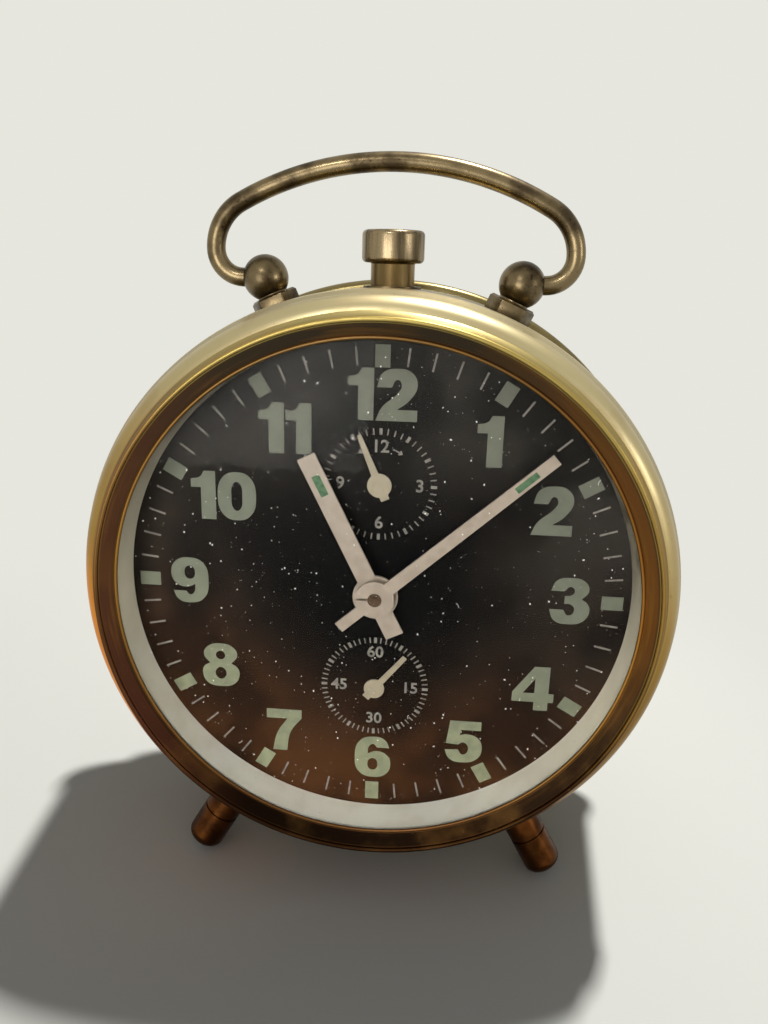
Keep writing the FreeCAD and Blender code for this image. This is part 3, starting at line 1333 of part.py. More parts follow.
def make_alarm_wheel():
    """Twelve-hour alarm wheel, loose on the alarm arbor, with a pin that rides on the cam."""
    y1 = ALARM_WHEEL_Y + MOTION_WHEEL_THICKNESS
    wheel = gear(HOUR_TEETH, motion_module, WHEEL_TOOTH, ALARM_WHEEL_PHASE, ALARM, ALARM_WHEEL_Y, y1)
    spring_front = FRONT_PLATE_Y - RUNNING_GAP - RELEASE_SPRING_THICKNESS
    hub = disc(ARBOR_RADIUS * 2, ALARM_WHEEL_Y, spring_front - RELEASE_SPRING_GAP, ALARM)
    pin_place = polar(CAM_PIN_CIRCLE, 90.0, *ALARM)
    cam_rear = CAM_Y + MOTION_WHEEL_THICKNESS
    pin = disc(CAM_PIN_RADIUS, cam_rear + CAM_PIN_GAP, ALARM_WHEEL_Y + CAM_PIN_GAP, pin_place)
    bore = disc(ARBOR_RADIUS + RUNNING_GAP, ALARM_WHEEL_Y - PAST, FRONT_PLATE_Y, ALARM)
    return fused(wheel, hub, pin).cut(bore)


def make_alarm_arbor():
    """Alarm setting arbor with its cam disc, from the alarm hand to the rear knob."""
    knob_end = cover_rear + KNOB_FRONT_GAP + ALARM_KNOB_LENGTH
    front = ALARM_HAND_Y - SMALL_HAND_THICKNESS / 2
    arbor = disc(ARBOR_RADIUS, front, knob_end - PAST, ALARM)
    cam = disc(CAM_RADIUS, CAM_Y, CAM_Y + MOTION_WHEEL_THICKNESS, ALARM)
    notch_place = polar(CAM_PIN_CIRCLE, 90 - ALARM_HAND_ANGLE, *ALARM)
    notch = disc(CAM_NOTCH_RADIUS, CAM_Y - PAST, CAM_Y + 2 * PAST, notch_place)
    return fused(arbor, cam.cut(notch))


def make_release_spring():
    """Leaf that presses on the alarm wheel, with a finger that reaches the hammer."""
    y1 = FRONT_PLATE_Y - RUNNING_GAP
    y0 = y1 - RELEASE_SPRING_THICKNESS
    rivet_place = (RELEASE_RIVET_X, RELEASE_RIVET_Z)
    finger_place = (RELEASE_FINGER_X, RELEASE_FINGER_Z)
    half = RELEASE_SPRING_WIDTH / 2
    ring = tube(2 * ARBOR_RADIUS + half, ARBOR_RADIUS + 4 * RUNNING_GAP, y0, y1, ALARM)
    ring_gap = disc(ARBOR_RADIUS + 4 * RUNNING_GAP, y0 - PAST, y1 + PAST, ALARM)
    arm = bar(rivet_place, ALARM, half, y0, y1)
    side_arm = bar(ALARM, finger_place, half, y0, y1)
    pad = disc(half, y0, y1, rivet_place)
    rivet = disc(RELEASE_RIVET_RADIUS, y0, front_plate_rear, rivet_place)
    half_finger = RELEASE_FINGER_WIDTH / 2
    finger = box(
        RELEASE_FINGER_X - half_finger, RELEASE_FINGER_X + half_finger, y0, y1 + RELEASE_FINGER_DEPTH,
        RELEASE_FINGER_Z - half_finger / 2, RELEASE_FINGER_Z + half_finger / 2,
    )
    leaf = fused(ring, arm, side_arm, pad).cut(ring_gap)
    return fused(leaf, rivet, finger)


# Going train
def train_arbor(place, front_y, rear_y):
    """Arbor between the plates with a thin pivot at each end."""
    return stepped_bar([
        (PIVOT_RADIUS, front_y, front_plate_rear + BEARING_GAP),
        (ARBOR_RADIUS, front_plate_rear + BEARING_GAP, back_plate_y - BEARING_GAP),
        (PIVOT_RADIUS, back_plate_y - BEARING_GAP, rear_y),
    ], place)


def make_third_wheel():
    """Third wheel, its pinion and arbor."""
    wheel = spoked_wheel(THIRD_TEETH, THIRD_MODULE, 0.0, THIRD, level(THIRD_LEVEL), THIRD_THICKNESS)
    y0 = level(THIRD_PINION_LEVEL)
    pinion = gear(
        THIRD_LEAVES, CENTRE_MODULE, PINION_LEAF, THIRD_PINION_PHASE, THIRD, y0, y0 + THIRD_PINION_LENGTH,
    )
    return fused(train_arbor(THIRD, FRONT_PLATE_Y, back_plate_rear), wheel, pinion)


def make_fourth_wheel():
    """Fourth wheel, which turns once a minute and carries the seconds hand."""
    wheel = spoked_wheel(FOURTH_TEETH, FOURTH_MODULE, 0.0, SECONDS, level(FOURTH_LEVEL), FOURTH_THICKNESS)
    y0 = level(FOURTH_PINION_LEVEL)
    pinion = gear(
        FOURTH_LEAVES, THIRD_MODULE, PINION_LEAF, FOURTH_PINION_PHASE, SECONDS,
        y0, y0 + FOURTH_PINION_LENGTH,
    )
    front = SECONDS_HAND_Y - SMALL_HAND_THICKNESS / 2
    return fused(train_arbor(SECONDS, front, back_plate_rear), wheel, pinion)


def make_escape_wheel():
    """Escape wheel with pointed teeth, its pinion and arbor."""
    y0 = level(ESCAPE_LEVEL)
    y1 = y0 + ESCAPE_THICKNESS
    wheel = saw_wheel(ESCAPE_RADIUS, ESCAPE_COUNT, ESCAPE_TOOTH_DEPTH, ESCAPE, y0, y1, ESCAPE_LEAN)
    rim = ESCAPE_RADIUS - ESCAPE_TOOTH_DEPTH - SPOKE_WIDTH / 2
    wheel = wheel.cut(windows(ESCAPE, ESCAPE_HUB_RADIUS, rim, 4, y0, y1))
    pinion_y = level(ESCAPE_PINION_LEVEL)
    pinion = gear(
        ESCAPE_LEAVES, FOURTH_MODULE, PINION_LEAF, ESCAPE_PINION_PHASE, ESCAPE,
        pinion_y, pinion_y + ESCAPE_PINION_LENGTH,
    )
    return fused(train_arbor(ESCAPE, FRONT_PLATE_Y, back_plate_rear), wheel, pinion)


def make_pallet_lever():
    """Pin-pallet lever: arbor, arms with two pins and a fork towards the balance."""
    y0 = level(LEVER_LEVEL)
    y1 = y0 + LEVER_THICKNESS
    to_balance = direction(LEVER, BALANCE)
    half = LEVER_WIDTH / 2
    pieces = [train_arbor(LEVER, FRONT_PLATE_Y, back_plate_rear)]
    pieces.append(disc(LEVER_BOSS_RADIUS, y0, y1, LEVER))
    pin_distance = ESCAPE_RADIUS - PALLET_PIN_RADIUS
    pin_end = level(ESCAPE_LEVEL) - LEVER_AXIAL_GAP
    towards_lever = direction(ESCAPE, LEVER)
    for side in (-1, 1):
        pin_place = polar(pin_distance, towards_lever + side * PALLET_SPREAD, *ESCAPE)
        pieces.append(bar(LEVER, pin_place, half, y0, y1, LEVER_TIP_HALF_WIDTH))
        pieces.append(disc(LEVER_TIP_HALF_WIDTH, y0, y1, pin_place))
        pieces.append(disc(PALLET_PIN_RADIUS, y0, pin_end, pin_place))
    fork_end = math.dist(LEVER, BALANCE) - FORK_GAP
    fork_start = fork_end - FORK_LENGTH
    pieces.append(bar(LEVER, polar(fork_start, to_balance, *LEVER), half, y0, y1))
    fork = bar(
        polar(fork_start, to_balance, *LEVER), polar(fork_end, to_balance, *LEVER),
        FORK_HALF_WIDTH, y0, y1,
    )
    slot = bar(
        polar(fork_start + half, to_balance, *LEVER), polar(fork_end + PAST, to_balance, *LEVER),
        FORK_SLOT_HALF_WIDTH, y0 - PAST, y1 + PAST,
    )
    pieces.append(fork.cut(slot))
    tail = polar(LEVER_TAIL_LENGTH, direction(LEVER, ESCAPE), *LEVER)
    pieces.append(bar(LEVER, tail, half, y0, y1))
    return fused(*pieces)


def make_balance_wheel():
    """Balance wheel with its staff, roller, impulse pin and collet."""
    y0 = level(BALANCE_LEVEL)
    y1 = y0 + BALANCE_THICKNESS
    rim = tube(BALANCE_RADIUS, BALANCE_RADIUS - BALANCE_RIM, y0, y1, BALANCE)
    reach = BALANCE_RADIUS - BALANCE_RIM / 2
    arm = bar(polar(-reach, 65, *BALANCE), polar(reach, 65, *BALANCE), SPOKE_WIDTH / 2, y0, y1)
    rear_tip = back_plate_y - STAFF_END_GAP
    staff = turned([
        (0.0, STAFF_FRONT_Y),
        (STAFF_RADIUS, STAFF_FRONT_Y + STAFF_CONE),
        (STAFF_RADIUS, rear_tip - STAFF_CONE),
        (0.0, rear_tip),
    ], BALANCE)
    roller_y = level(LEVER_LEVEL) + LEVER_THICKNESS + ROLLER_GAP
    roller = disc(ROLLER_RADIUS, roller_y, roller_y + ROLLER_THICKNESS, BALANCE)
    pin_place = polar(IMPULSE_CIRCLE, direction(BALANCE, LEVER), *BALANCE)
    pin_front = level(LEVER_LEVEL) + LEVER_THICKNESS + LEVER_AXIAL_GAP
    pin = disc(IMPULSE_PIN_RADIUS, pin_front, roller_y, pin_place)
    collet_y = level(HAIRSPRING_LEVEL)
    collet_rear = collet_y + HAIRSPRING_WIDTH + COLLET_PROUD
    collet = disc(COLLET_RADIUS, collet_y - COLLET_PROUD, collet_rear, BALANCE)
    return fused(rim, arm, staff, roller, pin, collet)


def make_hairspring():
    """Flat spiral hairspring from the collet to its stud."""
    y0 = level(HAIRSPRING_LEVEL)
    inner = COLLET_RADIUS + HAIRSPRING_INNER_GAP
    return spiral(
        inner, HAIRSPRING_RADIUS, HAIRSPRING_TURNS, HAIRSPRING_BAND, BALANCE, y0, y0 + HAIRSPRING_WIDTH,
    )


def make_bearing_screws():
    """Cupped screws that carry the ends of the balance staff."""
    rear_tip = back_plate_y - STAFF_END_GAP
    cone_angle = STAFF_RADIUS / STAFF_CONE
    screws = []
    for tip, side, plate in ((STAFF_FRONT_Y, -1, FRONT_PLATE_Y), (rear_tip, 1, back_plate_rear)):
        mouth = tip - side * BEARING_CUP_DEPTH
        bottom = tip + side * BEARING_CUP_GAP
        end = plate + side * BEARING_HEAD
        y0, y1 = sorted((mouth, end))
        screw = disc(BEARING_SCREW_RADIUS, y0, y1, BALANCE)
        reach = abs(bottom - mouth) + PAST
        cup = Part.makeCone(
            0.0, cone_angle * reach, reach, V(BALANCE[0], bottom, BALANCE[1]), V(0, -side, 0),
        )
        screws.append(screw.cut(cup))
    return screws


def make_regulator():
    """Regulator on the rear bearing screw, with a tab that shows through the cover's slot."""
    y0 = back_plate_rear + REGULATOR_PLATE_GAP
    y1 = y0 + REGULATOR_THICKNESS
    half = REGULATOR_TAB_WIDTH / 2
    hub = disc(REGULATOR_HUB_RADIUS, y0, y1, BALANCE)
    end = polar(regulator_length + REGULATOR_TAB_THICKNESS / 2, REGULATOR_ANGLE, *BALANCE)
    arm = bar(BALANCE, end, half, y0, y1)
    inner = polar(regulator_length - REGULATOR_TAB_THICKNESS / 2, REGULATOR_ANGLE, *BALANCE)
    tab = bar(inner, end, half, y0, cover_rear + REGULATOR_TAB_PROUD)
    bore = disc(BEARING_SCREW_RADIUS + RUNNING_GAP, y0 - PAST, y1 + PAST, BALANCE)
    return fused(hub, arm, tab).cut(bore)


# Winding work
def make_great_wheel():
    """Great wheel, free on the winding arbor, with the click's pivot pin."""
    y0 = level(GREAT_LEVEL)
    return winding_wheel(GREAT_TEETH, GREAT_MODULE, GREAT, y0)


def make_alarm_great_wheel():
    """Alarm great wheel, free on its winding arbor."""
    y0 = level(GREAT_LEVEL)
    return winding_wheel(ALARM_GREAT_TEETH, ALARM_MODULE, ALARM_GREAT, y0)


def winding_wheel(teeth, module, place, y0):
    """Wheel with a bore for a winding arbor and a pin for its click."""
    y1 = y0 + GREAT_THICKNESS
    wheel = gear(teeth, module, WHEEL_TOOTH, 0.0, place, y0, y1)
    bore = disc(WINDING_RADIUS + RUNNING_GAP, y0 - PAST, y1 + PAST, place)
    pin_place = polar(CLICK_PIVOT_DISTANCE, CLICK_ANGLE, *place)
    pin = disc(CLICK_PIVOT_RADIUS, y0, level(RATCHET_LEVEL) + RATCHET_THICKNESS, pin_place)
    return fused(wheel.cut(bore), pin)


def make_click(place):
    """Click that rests beside the ratchet's teeth."""
    y0 = level(RATCHET_LEVEL)
    y1 = y0 + RATCHET_THICKNESS
    pivot = polar(CLICK_PIVOT_DISTANCE, CLICK_ANGLE, *place)
    tip_distance = RATCHET_RADIUS + CLICK_TIP_GAP + CLICK_TIP_HALF_WIDTH
    tip = polar(tip_distance, CLICK_LAY, *place)
    boss = disc(CLICK_BOSS_RADIUS, y0, y1, pivot)
    finger = bar(pivot, tip, CLICK_ROOT_HALF_WIDTH, y0, y1, CLICK_TIP_HALF_WIDTH)
    end = disc(CLICK_TIP_HALF_WIDTH, y0, y1, tip)
    bore = disc(CLICK_PIVOT_RADIUS + RUNNING_GAP, y0 - PAST, y1 + PAST, pivot)
    return fused(boss, finger, end).cut(bore)


def make_winding_arbor(place, spring_width):
    """Winding arbor with its ratchet wheel and the hub that the mainspring hooks on."""
    wheel_rear = level(GREAT_LEVEL) + GREAT_THICKNESS + RUNNING_GAP
    spring_front = level(SPRING_LEVEL)
    hub_rear = spring_front + spring_width + WINDING_HUB_PAST
    end = cover_rear + KEY_FRONT_GAP + KEY_HUB_LENGTH - PAST
    arbor = stepped_bar([
        (WINDING_FRONT_PIVOT_RADIUS, FRONT_PLATE_Y, front_plate_rear + RUNNING_GAP),
        (WINDING_RADIUS, front_plate_rear + RUNNING_GAP, wheel_rear),
        (WINDING_HUB_RADIUS, wheel_rear, hub_rear),
        (WINDING_RADIUS, hub_rear, back_plate_y - RUNNING_GAP),
        (WINDING_REAR_RADIUS, back_plate_y - RUNNING_GAP, end),
    ], place)
    y0 = level(RATCHET_LEVEL)
    ratchet = saw_wheel(
        RATCHET_RADIUS, RATCHET_TEETH, RATCHET_TOOTH_DEPTH, place, y0, y0 + RATCHET_THICKNESS, RATCHET_LEAN,
    )
    return fused(arbor, ratchet)


def make_mainspring(place, radius, turns, width, pillar):
    """Spiral mainspring whose outer end is looped round a pillar."""
    y0 = level(SPRING_LEVEL)
    y1 = y0 + width
    inner = WINDING_HUB_RADIUS + MAINSPRING_INNER_GAP
    towards = direction(place, pillar)
    coil = spiral(inner, radius, turns, MAINSPRING_BAND, place, y0, y1, towards)
    tail_start = polar(radius - MAINSPRING_BAND / 2, towards, *place)
    loop_inner = PILLAR_RADIUS + RUNNING_GAP
    loop = tube(loop_inner + SPRING_LOOP_BAND, loop_inner, y0, y1, pillar)
    gap = math.dist(place, pillar) - loop_inner - SPRING_LOOP_BAND / 2
    tail = bar(tail_start, polar(gap, towards, *place), MAINSPRING_BAND / 2, y0, y1)
    return fused(coil, tail, loop)


def make_key(place, turn):
    """Winding key: round hub and a flat two-lobed wing."""
    y0 = cover_rear + KEY_FRONT_GAP
    hub_end = y0 + KEY_HUB_LENGTH
    hub = disc(KEY_HUB_RADIUS, y0, hub_end)
    wing_end = y0 + KEY_DEPTH
    lobe_x = KEY_HALF_WIDTH - KEY_LOBE_RADIUS
    lobe_y = wing_end - KEY_LOBE_RADIUS
    half = KEY_THICKNESS / 2
    lobe_reach = KEY_LOBE_RADIUS * math.sqrt(0.5)

    def at(point):
        return V(point[0], point[1], -half)

    wing = outline_face([
        (KEY_NECK_INSET - KEY_HUB_RADIUS, hub_end - PAST),
        (KEY_HUB_RADIUS - KEY_NECK_INSET, hub_end - PAST),
        (lobe_x + lobe_reach, lobe_y - lobe_reach),
        ((lobe_x + KEY_LOBE_RADIUS, lobe_y), (lobe_x + lobe_reach, lobe_y + lobe_reach)),
        ((lobe_x, wing_end), (lobe_x - lobe_reach, lobe_y + lobe_reach)),
        ((0.0, hub_end + KEY_DIP), (-lobe_x + lobe_reach, lobe_y + lobe_reach)),
        ((-lobe_x, wing_end), (-lobe_x - lobe_reach, lobe_y + lobe_reach)),
        ((-lobe_x - KEY_LOBE_RADIUS, lobe_y), (-lobe_x - lobe_reach, lobe_y - lobe_reach)),
    ], at).extrude(V(0, 0, KEY_THICKNESS))
    bore = disc(WINDING_REAR_RADIUS, y0 - PAST, hub_end - PAST)
    key = fused(hub, wing).cut(bore)
    return clockwise(key, turn).translated(V(place[0], 0, place[1]))


def make_set_knob(radius, length, shoulder, place, bore_radius):
    """Ridged setting knob pressed on an arbor, with a dished rear face."""
    y0 = cover_rear + KNOB_FRONT_GAP
    y1 = y0 + length
    step = 360 / KNOB_RIDGES
    points = [polar(radius, 0, *place)]
    for k in range(KNOB_RIDGES):
        ridge = polar(radius - KNOB_RIDGE_HEIGHT, (k + 0.5) * step, *place)
        points.append((ridge, polar(radius, (k + 1) * step, *place)))
    points[-1] = (points[-1][0], points[0])
    knob = sheet(points, y0, y1)
    collar = disc(radius - shoulder, y0 - KNOB_COLLAR_HEIGHT, y0, place)
    dish = disc(radius - shoulder, y1 - KNOB_DISH_DEPTH, y1 + PAST, place)
    bore = disc(bore_radius, y0 - PAST, y1 - PAST, place)
    return fused(knob, collar).cut([dish, bore])


# Alarm striking work
def make_alarm_escape_wheel():
    """Alarm escape wheel with its pinion and arbor."""
    y0 = level(ALARM_ESCAPE_LEVEL)
    y1 = y0 + ALARM_ESCAPE_THICKNESS
    wheel = saw_wheel(
        ALARM_ESCAPE_RADIUS, ALARM_ESCAPE_COUNT, ALARM_ESCAPE_DEPTH, ALARM_ESCAPE, y0, y1, ALARM_ESCAPE_LEAN,
    )
    pinion_y = level(CENTRE_PINION_LEVEL)
    pinion = gear(
        ALARM_ESCAPE_LEAVES, ALARM_MODULE, PINION_LEAF, ALARM_PINION_PHASE, ALARM_ESCAPE,
        pinion_y, pinion_y + CENTRE_PINION_LENGTH,
    )
    return fused(train_arbor(ALARM_ESCAPE, FRONT_PLATE_Y, back_plate_rear), wheel, pinion)


def make_hammer():
    """Alarm hammer: verge arbor, two-pronged verge, wire and striking head."""
    y0 = level(ALARM_ESCAPE_LEVEL) + ALARM_ESCAPE_THICKNESS + VERGE_GAP
    y1 = y0 + VERGE_THICKNESS
    wire_y = level(HAMMER_WIRE_LEVEL)
    pieces = [train_arbor(VERGE, FRONT_PLATE_Y, back_plate_rear)]
    pieces.append(disc(ARBOR_RADIUS * 2, y0, wire_y + HAMMER_WIRE_RADIUS, VERGE))
    towards = direction(ALARM_ESCAPE, VERGE)
    for side in (-1, 1):
        pin_circle = ALARM_ESCAPE_RADIUS - VERGE_PIN_INSET
        pin_place = polar(pin_circle, towards + side * PALLET_SPREAD, *ALARM_ESCAPE)
        pieces.append(bar(VERGE, pin_place, VERGE_ROOT_HALF_WIDTH, y0, y1, VERGE_PIN_RADIUS))
        pieces.append(disc(VERGE_PIN_RADIUS, y0 - VERGE_PIN_REACH, y1, pin_place))
    wire_length = math.dist(VERGE, HAMMER)
    along = V(HAMMER[0] - VERGE[0], 0, HAMMER[1] - VERGE[1])
    wire_start = V(VERGE[0], wire_y, VERGE[1])
    pieces.append(Part.makeCylinder(HAMMER_WIRE_RADIUS, wire_length, wire_start, along))
    side_turn = direction(VERGE, HAMMER) - 90
    start = polar(-HAMMER_HEAD_LENGTH / 2, side_turn, *HAMMER)
    sideways = polar(1.0, side_turn)
    head_axis = V(sideways[0], 0, sideways[1])
    head_start = V(start[0], wire_y, start[1])
    pieces.append(Part.makeCylinder(HAMMER_HEAD_RADIUS, HAMMER_HEAD_LENGTH, head_start, head_axis))
    return fused(*pieces)


# Standing pose
def foot_contact(lean):
    """Centre of the end rounding's lowest point on the right foot, for a backward lean."""
    tilt = math.radians(FOOT_TILT)
    spread = math.radians(FOOT_ANGLE)
    axis = V(math.sin(spread) * math.cos(tilt), -math.sin(tilt), -math.cos(spread) * math.cos(tilt))
    root = V(CASE_RADIUS * math.sin(spread), FOOT_Y, -CASE_RADIUS * math.cos(spread))
    down = V(0, math.sin(lean), -math.cos(lean))
    outward = down - axis * down.dot(axis)
    return root + axis * (FOOT_LENGTH - FOOT_ROUND) + outward.normalize() * (FOOT_RADIUS - FOOT_ROUND)


def standing_lean():
    """Backward lean at which the rounded feet and the rolled rim touch one floor."""
    half = RIM_WIDTH / 2
    roll = (half ** 2 + RIM_HEIGHT ** 2) / (2 * RIM_HEIGHT)
    rim_y = CASE_REAR_Y - half
    rim_z = -(CASE_RADIUS + RIM_HEIGHT - roll)
    lean = 0.0
    for _ in range(LEAN_STEPS):
        foot = foot_contact(lean)
        across = rim_y - foot.y
        rise = rim_z - foot.z
        span = math.hypot(across, rise)
        lean = math.atan2(rise, across) - math.asin((roll - FOOT_ROUND) / span)
    floor = -rim_y * math.sin(lean) + rim_z * math.cos(lean) - roll
    return math.degrees(lean), floor


LEAN, FLOOR = standing_lean()

NODES = {
    "case_drum": make_case_drum(),
    "bezel": make_bezel(),
    "glass": make_glass(),
    "light_ring": make_light_ring(),
    "dial": make_dial(),
    "back_cover": make_back_cover(),
    "cover_screws": make_cover_screws(),
    "handle_post_left": make_post(-1),
    "handle_post_right": make_post(1),
    "case_nuts": make_case_nuts(),
    "handle": make_handle(),
    "foot_left": make_foot(1),
    "foot_right": make_foot(-1),
    "button_bush": make_button_bush(),
    "stop_button": make_stop_button(),
    "button_clip": make_button_clip(),
    "stop_rod": make_stop_rod(),
    "stop_rod_guide": make_rod_guide(),
    "front_plate": make_front_plate(),
    "back_plate": make_back_plate(),
    "pillars": make_pillars(),
    "pillar_nuts": make_pillar_nuts(),
    "movement_spacers": make_spacers(),
    "movement_screws": make_movement_screws(),
    "centre_arbor": make_centre_arbor(),
    "centre_wheel": make_centre_wheel(),
    "cannon_pinion": make_cannon_pinion(),
    "minute_hand": make_minute_hand(),
    "minute_hand_lume": make_lume(
        MINUTE_SLOT_AT, MINUTE_SLOT_LENGTH, MINUTE_SLOT_WIDTH, MINUTE_HAND_Y, MINUTE_HAND_ANGLE),
    "hour_wheel": make_hour_wheel(),
    "hour_hand": make_hour_hand(),
    "hour_hand_lume": make_lume(
        HOUR_SLOT_AT, HOUR_SLOT_LENGTH, HOUR_SLOT_WIDTH, HOUR_HAND_Y, HOUR_HAND_ANGLE),
    "minute_wheel": make_minute_wheel(),
    "alarm_wheel": make_alarm_wheel(),
    "alarm_arbor": make_alarm_arbor(),
    "alarm_hand": make_alarm_hand(),
    "alarm_set_knob": make_set_knob(
        ALARM_KNOB_RADIUS, ALARM_KNOB_LENGTH, ALARM_KNOB_SHOULDER, ALARM, ARBOR_RADIUS),
    "time_set_knob": make_set_knob(
        SET_KNOB_RADIUS, SET_KNOB_LENGTH, KNOB_SHOULDER, CENTRE, CENTRE_ARBOR_RADIUS),
    "alarm_release_spring": make_release_spring(),
    "third_wheel": make_third_wheel(),
    "fourth_wheel": make_fourth_wheel(),
    "seconds_hand": make_seconds_hand(),
    "escape_wheel": make_escape_wheel(),
    "pallet_lever": make_pallet_lever(),
    "balance_wheel": make_balance_wheel(),
    "hairspring": make_hairspring(),
    "balance_bearings": make_bearing_screws(),
    "regulator": make_regulator(),
    "great_wheel": make_great_wheel(),
    "time_click": make_click(GREAT),
    "time_winding_arbor": make_winding_arbor(GREAT, SPRING_WIDTH),
    "time_mainspring": make_mainspring(
        GREAT, MAINSPRING_RADIUS, MAINSPRING_TURNS, SPRING_WIDTH, PILLARS[0]),
    "time_key": make_key(GREAT, TIME_KEY_TURN),
    "alarm_great_wheel": make_alarm_great_wheel(),
    "alarm_click": make_click(ALARM_GREAT),
    "alarm_winding_arbor": make_winding_arbor(ALARM_GREAT, ALARM_SPRING_WIDTH),
    "alarm_mainspring": make_mainspring(
        ALARM_GREAT, ALARM_SPRING_RADIUS, ALARM_SPRING_TURNS, ALARM_SPRING_WIDTH, PILLARS[1]),
    "alarm_key": make_key(ALARM_GREAT, ALARM_KEY_TURN),
    "alarm_escape_wheel": make_alarm_escape_wheel(),
    "alarm_hammer": make_hammer(),
}


def as_compound(shape):
    """Compound of all solids of a node."""
    shapes = shape if isinstance(shape, list) else [shape]
    return Part.makeCompound([solid for item in shapes for solid in item.Solids])


def leaned(shape):
    """Shape turned back onto its feet and rim and lifted to the floor."""
    turned_back = shape.rotated(ORIGIN, V(1, 0, 0), -LEAN)
    return turned_back.translated(V(0, 0, -FLOOR))


STANDING = {name: leaned(as_compound(shape)) for name, shape in NODES.items()}
extent = Part.makeCompound(list(STANDING.values())).optimalBoundingBox(False)
SHIFT_Y = -(extent.YMin + extent.YMax) / 2

os.makedirs("parts", exist_ok=True)
for name, shape in STANDING.items():
    centred = shape.translated(V(0, SHIFT_Y, 0))
    solids = centred.Solids
    if len(solids) == 1:
        solids[0].exportStep(f"parts/{name}.step")
    else:
        centred.exportStep(f"parts/{name}.step")
    print(name, len(solids), centred.isValid(), round(centred.Volume, 2))
print("lean", round(LEAN, 3), "floor", round(FLOOR, 3), "shift", round(SHIFT_Y, 3))
print("size", round(extent.XLength, 2), round(extent.YLength, 2), round(extent.ZLength, 2))
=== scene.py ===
import json
import logging
import math
import random
from dataclasses import dataclass, field
from enum import Enum

import bmesh
import bpy
from bmesh.types import BMesh
from mathutils import Matrix, Vector

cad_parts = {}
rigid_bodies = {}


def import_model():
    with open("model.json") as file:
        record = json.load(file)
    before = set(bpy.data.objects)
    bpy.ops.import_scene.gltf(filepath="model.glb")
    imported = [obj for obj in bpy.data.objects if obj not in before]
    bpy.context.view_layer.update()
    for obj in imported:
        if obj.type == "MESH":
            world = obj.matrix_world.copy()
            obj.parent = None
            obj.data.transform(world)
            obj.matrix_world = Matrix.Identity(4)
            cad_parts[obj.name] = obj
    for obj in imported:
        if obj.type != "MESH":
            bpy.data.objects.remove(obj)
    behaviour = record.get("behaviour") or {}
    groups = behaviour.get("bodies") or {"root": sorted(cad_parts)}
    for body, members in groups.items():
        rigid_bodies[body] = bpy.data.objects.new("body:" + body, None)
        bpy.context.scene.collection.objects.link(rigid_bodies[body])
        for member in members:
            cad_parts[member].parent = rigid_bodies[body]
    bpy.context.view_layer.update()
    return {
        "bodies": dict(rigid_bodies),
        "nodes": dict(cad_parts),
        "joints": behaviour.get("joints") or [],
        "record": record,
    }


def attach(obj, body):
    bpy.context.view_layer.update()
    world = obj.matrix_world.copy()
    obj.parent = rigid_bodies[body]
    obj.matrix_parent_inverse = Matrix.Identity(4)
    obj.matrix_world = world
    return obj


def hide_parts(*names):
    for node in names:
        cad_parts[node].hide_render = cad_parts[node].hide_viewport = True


Colour = tuple[int, int, int]
Flat = tuple[float, float]
Place = tuple[float, float, float]

MM = 0.001
BACKGROUND = (230, 230, 222)
CRISP_ANGLE = math.radians(32.0)
SOFTENED_ANGLE = math.radians(40.0)
INTO_CASE = Vector((0, 1, 0))
UPRIGHT = Vector((0, 0, 1))
log = logging.getLogger("alarm_clock")


def linear(colour: Colour) -> tuple[float, ...]:
    """Scene-linear colour from display values.

    Args:
        colour: Red, green and blue, 0 to 255.

    Returns:
        Red, green, blue and an alpha of 1.
    """
    levels = []
    for value in colour:
        share = value / 255
        levels.append(share / 12.92 if share <= 0.04045 else ((share + 0.055) / 1.055) ** 2.4)
    return (*levels, 1.0)


class Signal:
    """A value that varies over a surface, with arithmetic that adds Math nodes."""

    def __init__(self, wiring: "Wiring", socket: bpy.types.NodeSocket) -> None:
        """Keep the socket and the node tree that it belongs to."""
        self.wiring = wiring
        self.socket = socket

    def maths(self, operation: str, *others: "Signal | float") -> "Signal":
        """Put this number and others through one Math node.

        Args:
            operation: Name of the Math node's operation.
            others: Its further inputs.

        Returns:
            The node's result.
        """
        return self.wiring.node("ShaderNodeMath", {"operation": operation}, self, *others)

    def __add__(self, other: "Signal | float") -> "Signal":
        """Sum."""
        return self.maths("ADD", other)

    __radd__ = __add__

    def __mul__(self, other: "Signal | float") -> "Signal":
        """Product."""
        return self.maths("MULTIPLY", other)

    __rmul__ = __mul__

    def __sub__(self, other: "Signal | float") -> "Signal":
        """Difference."""
        return self.maths("SUBTRACT", other)

    def __rsub__(self, other: float) -> "Signal":
        """Difference from a plain number."""
        return self.wiring.node("ShaderNodeMath", {"operation": "SUBTRACT"}, other, self)

    def between(self, low: float, high: float) -> "Signal":
        """0 below low, 1 above high and smooth in between."""
        smooth = {"interpolation_type": "SMOOTHSTEP"}
        return self.wiring.node("ShaderNodeMapRange", smooth, self, low, high, 0.0, 1.0)


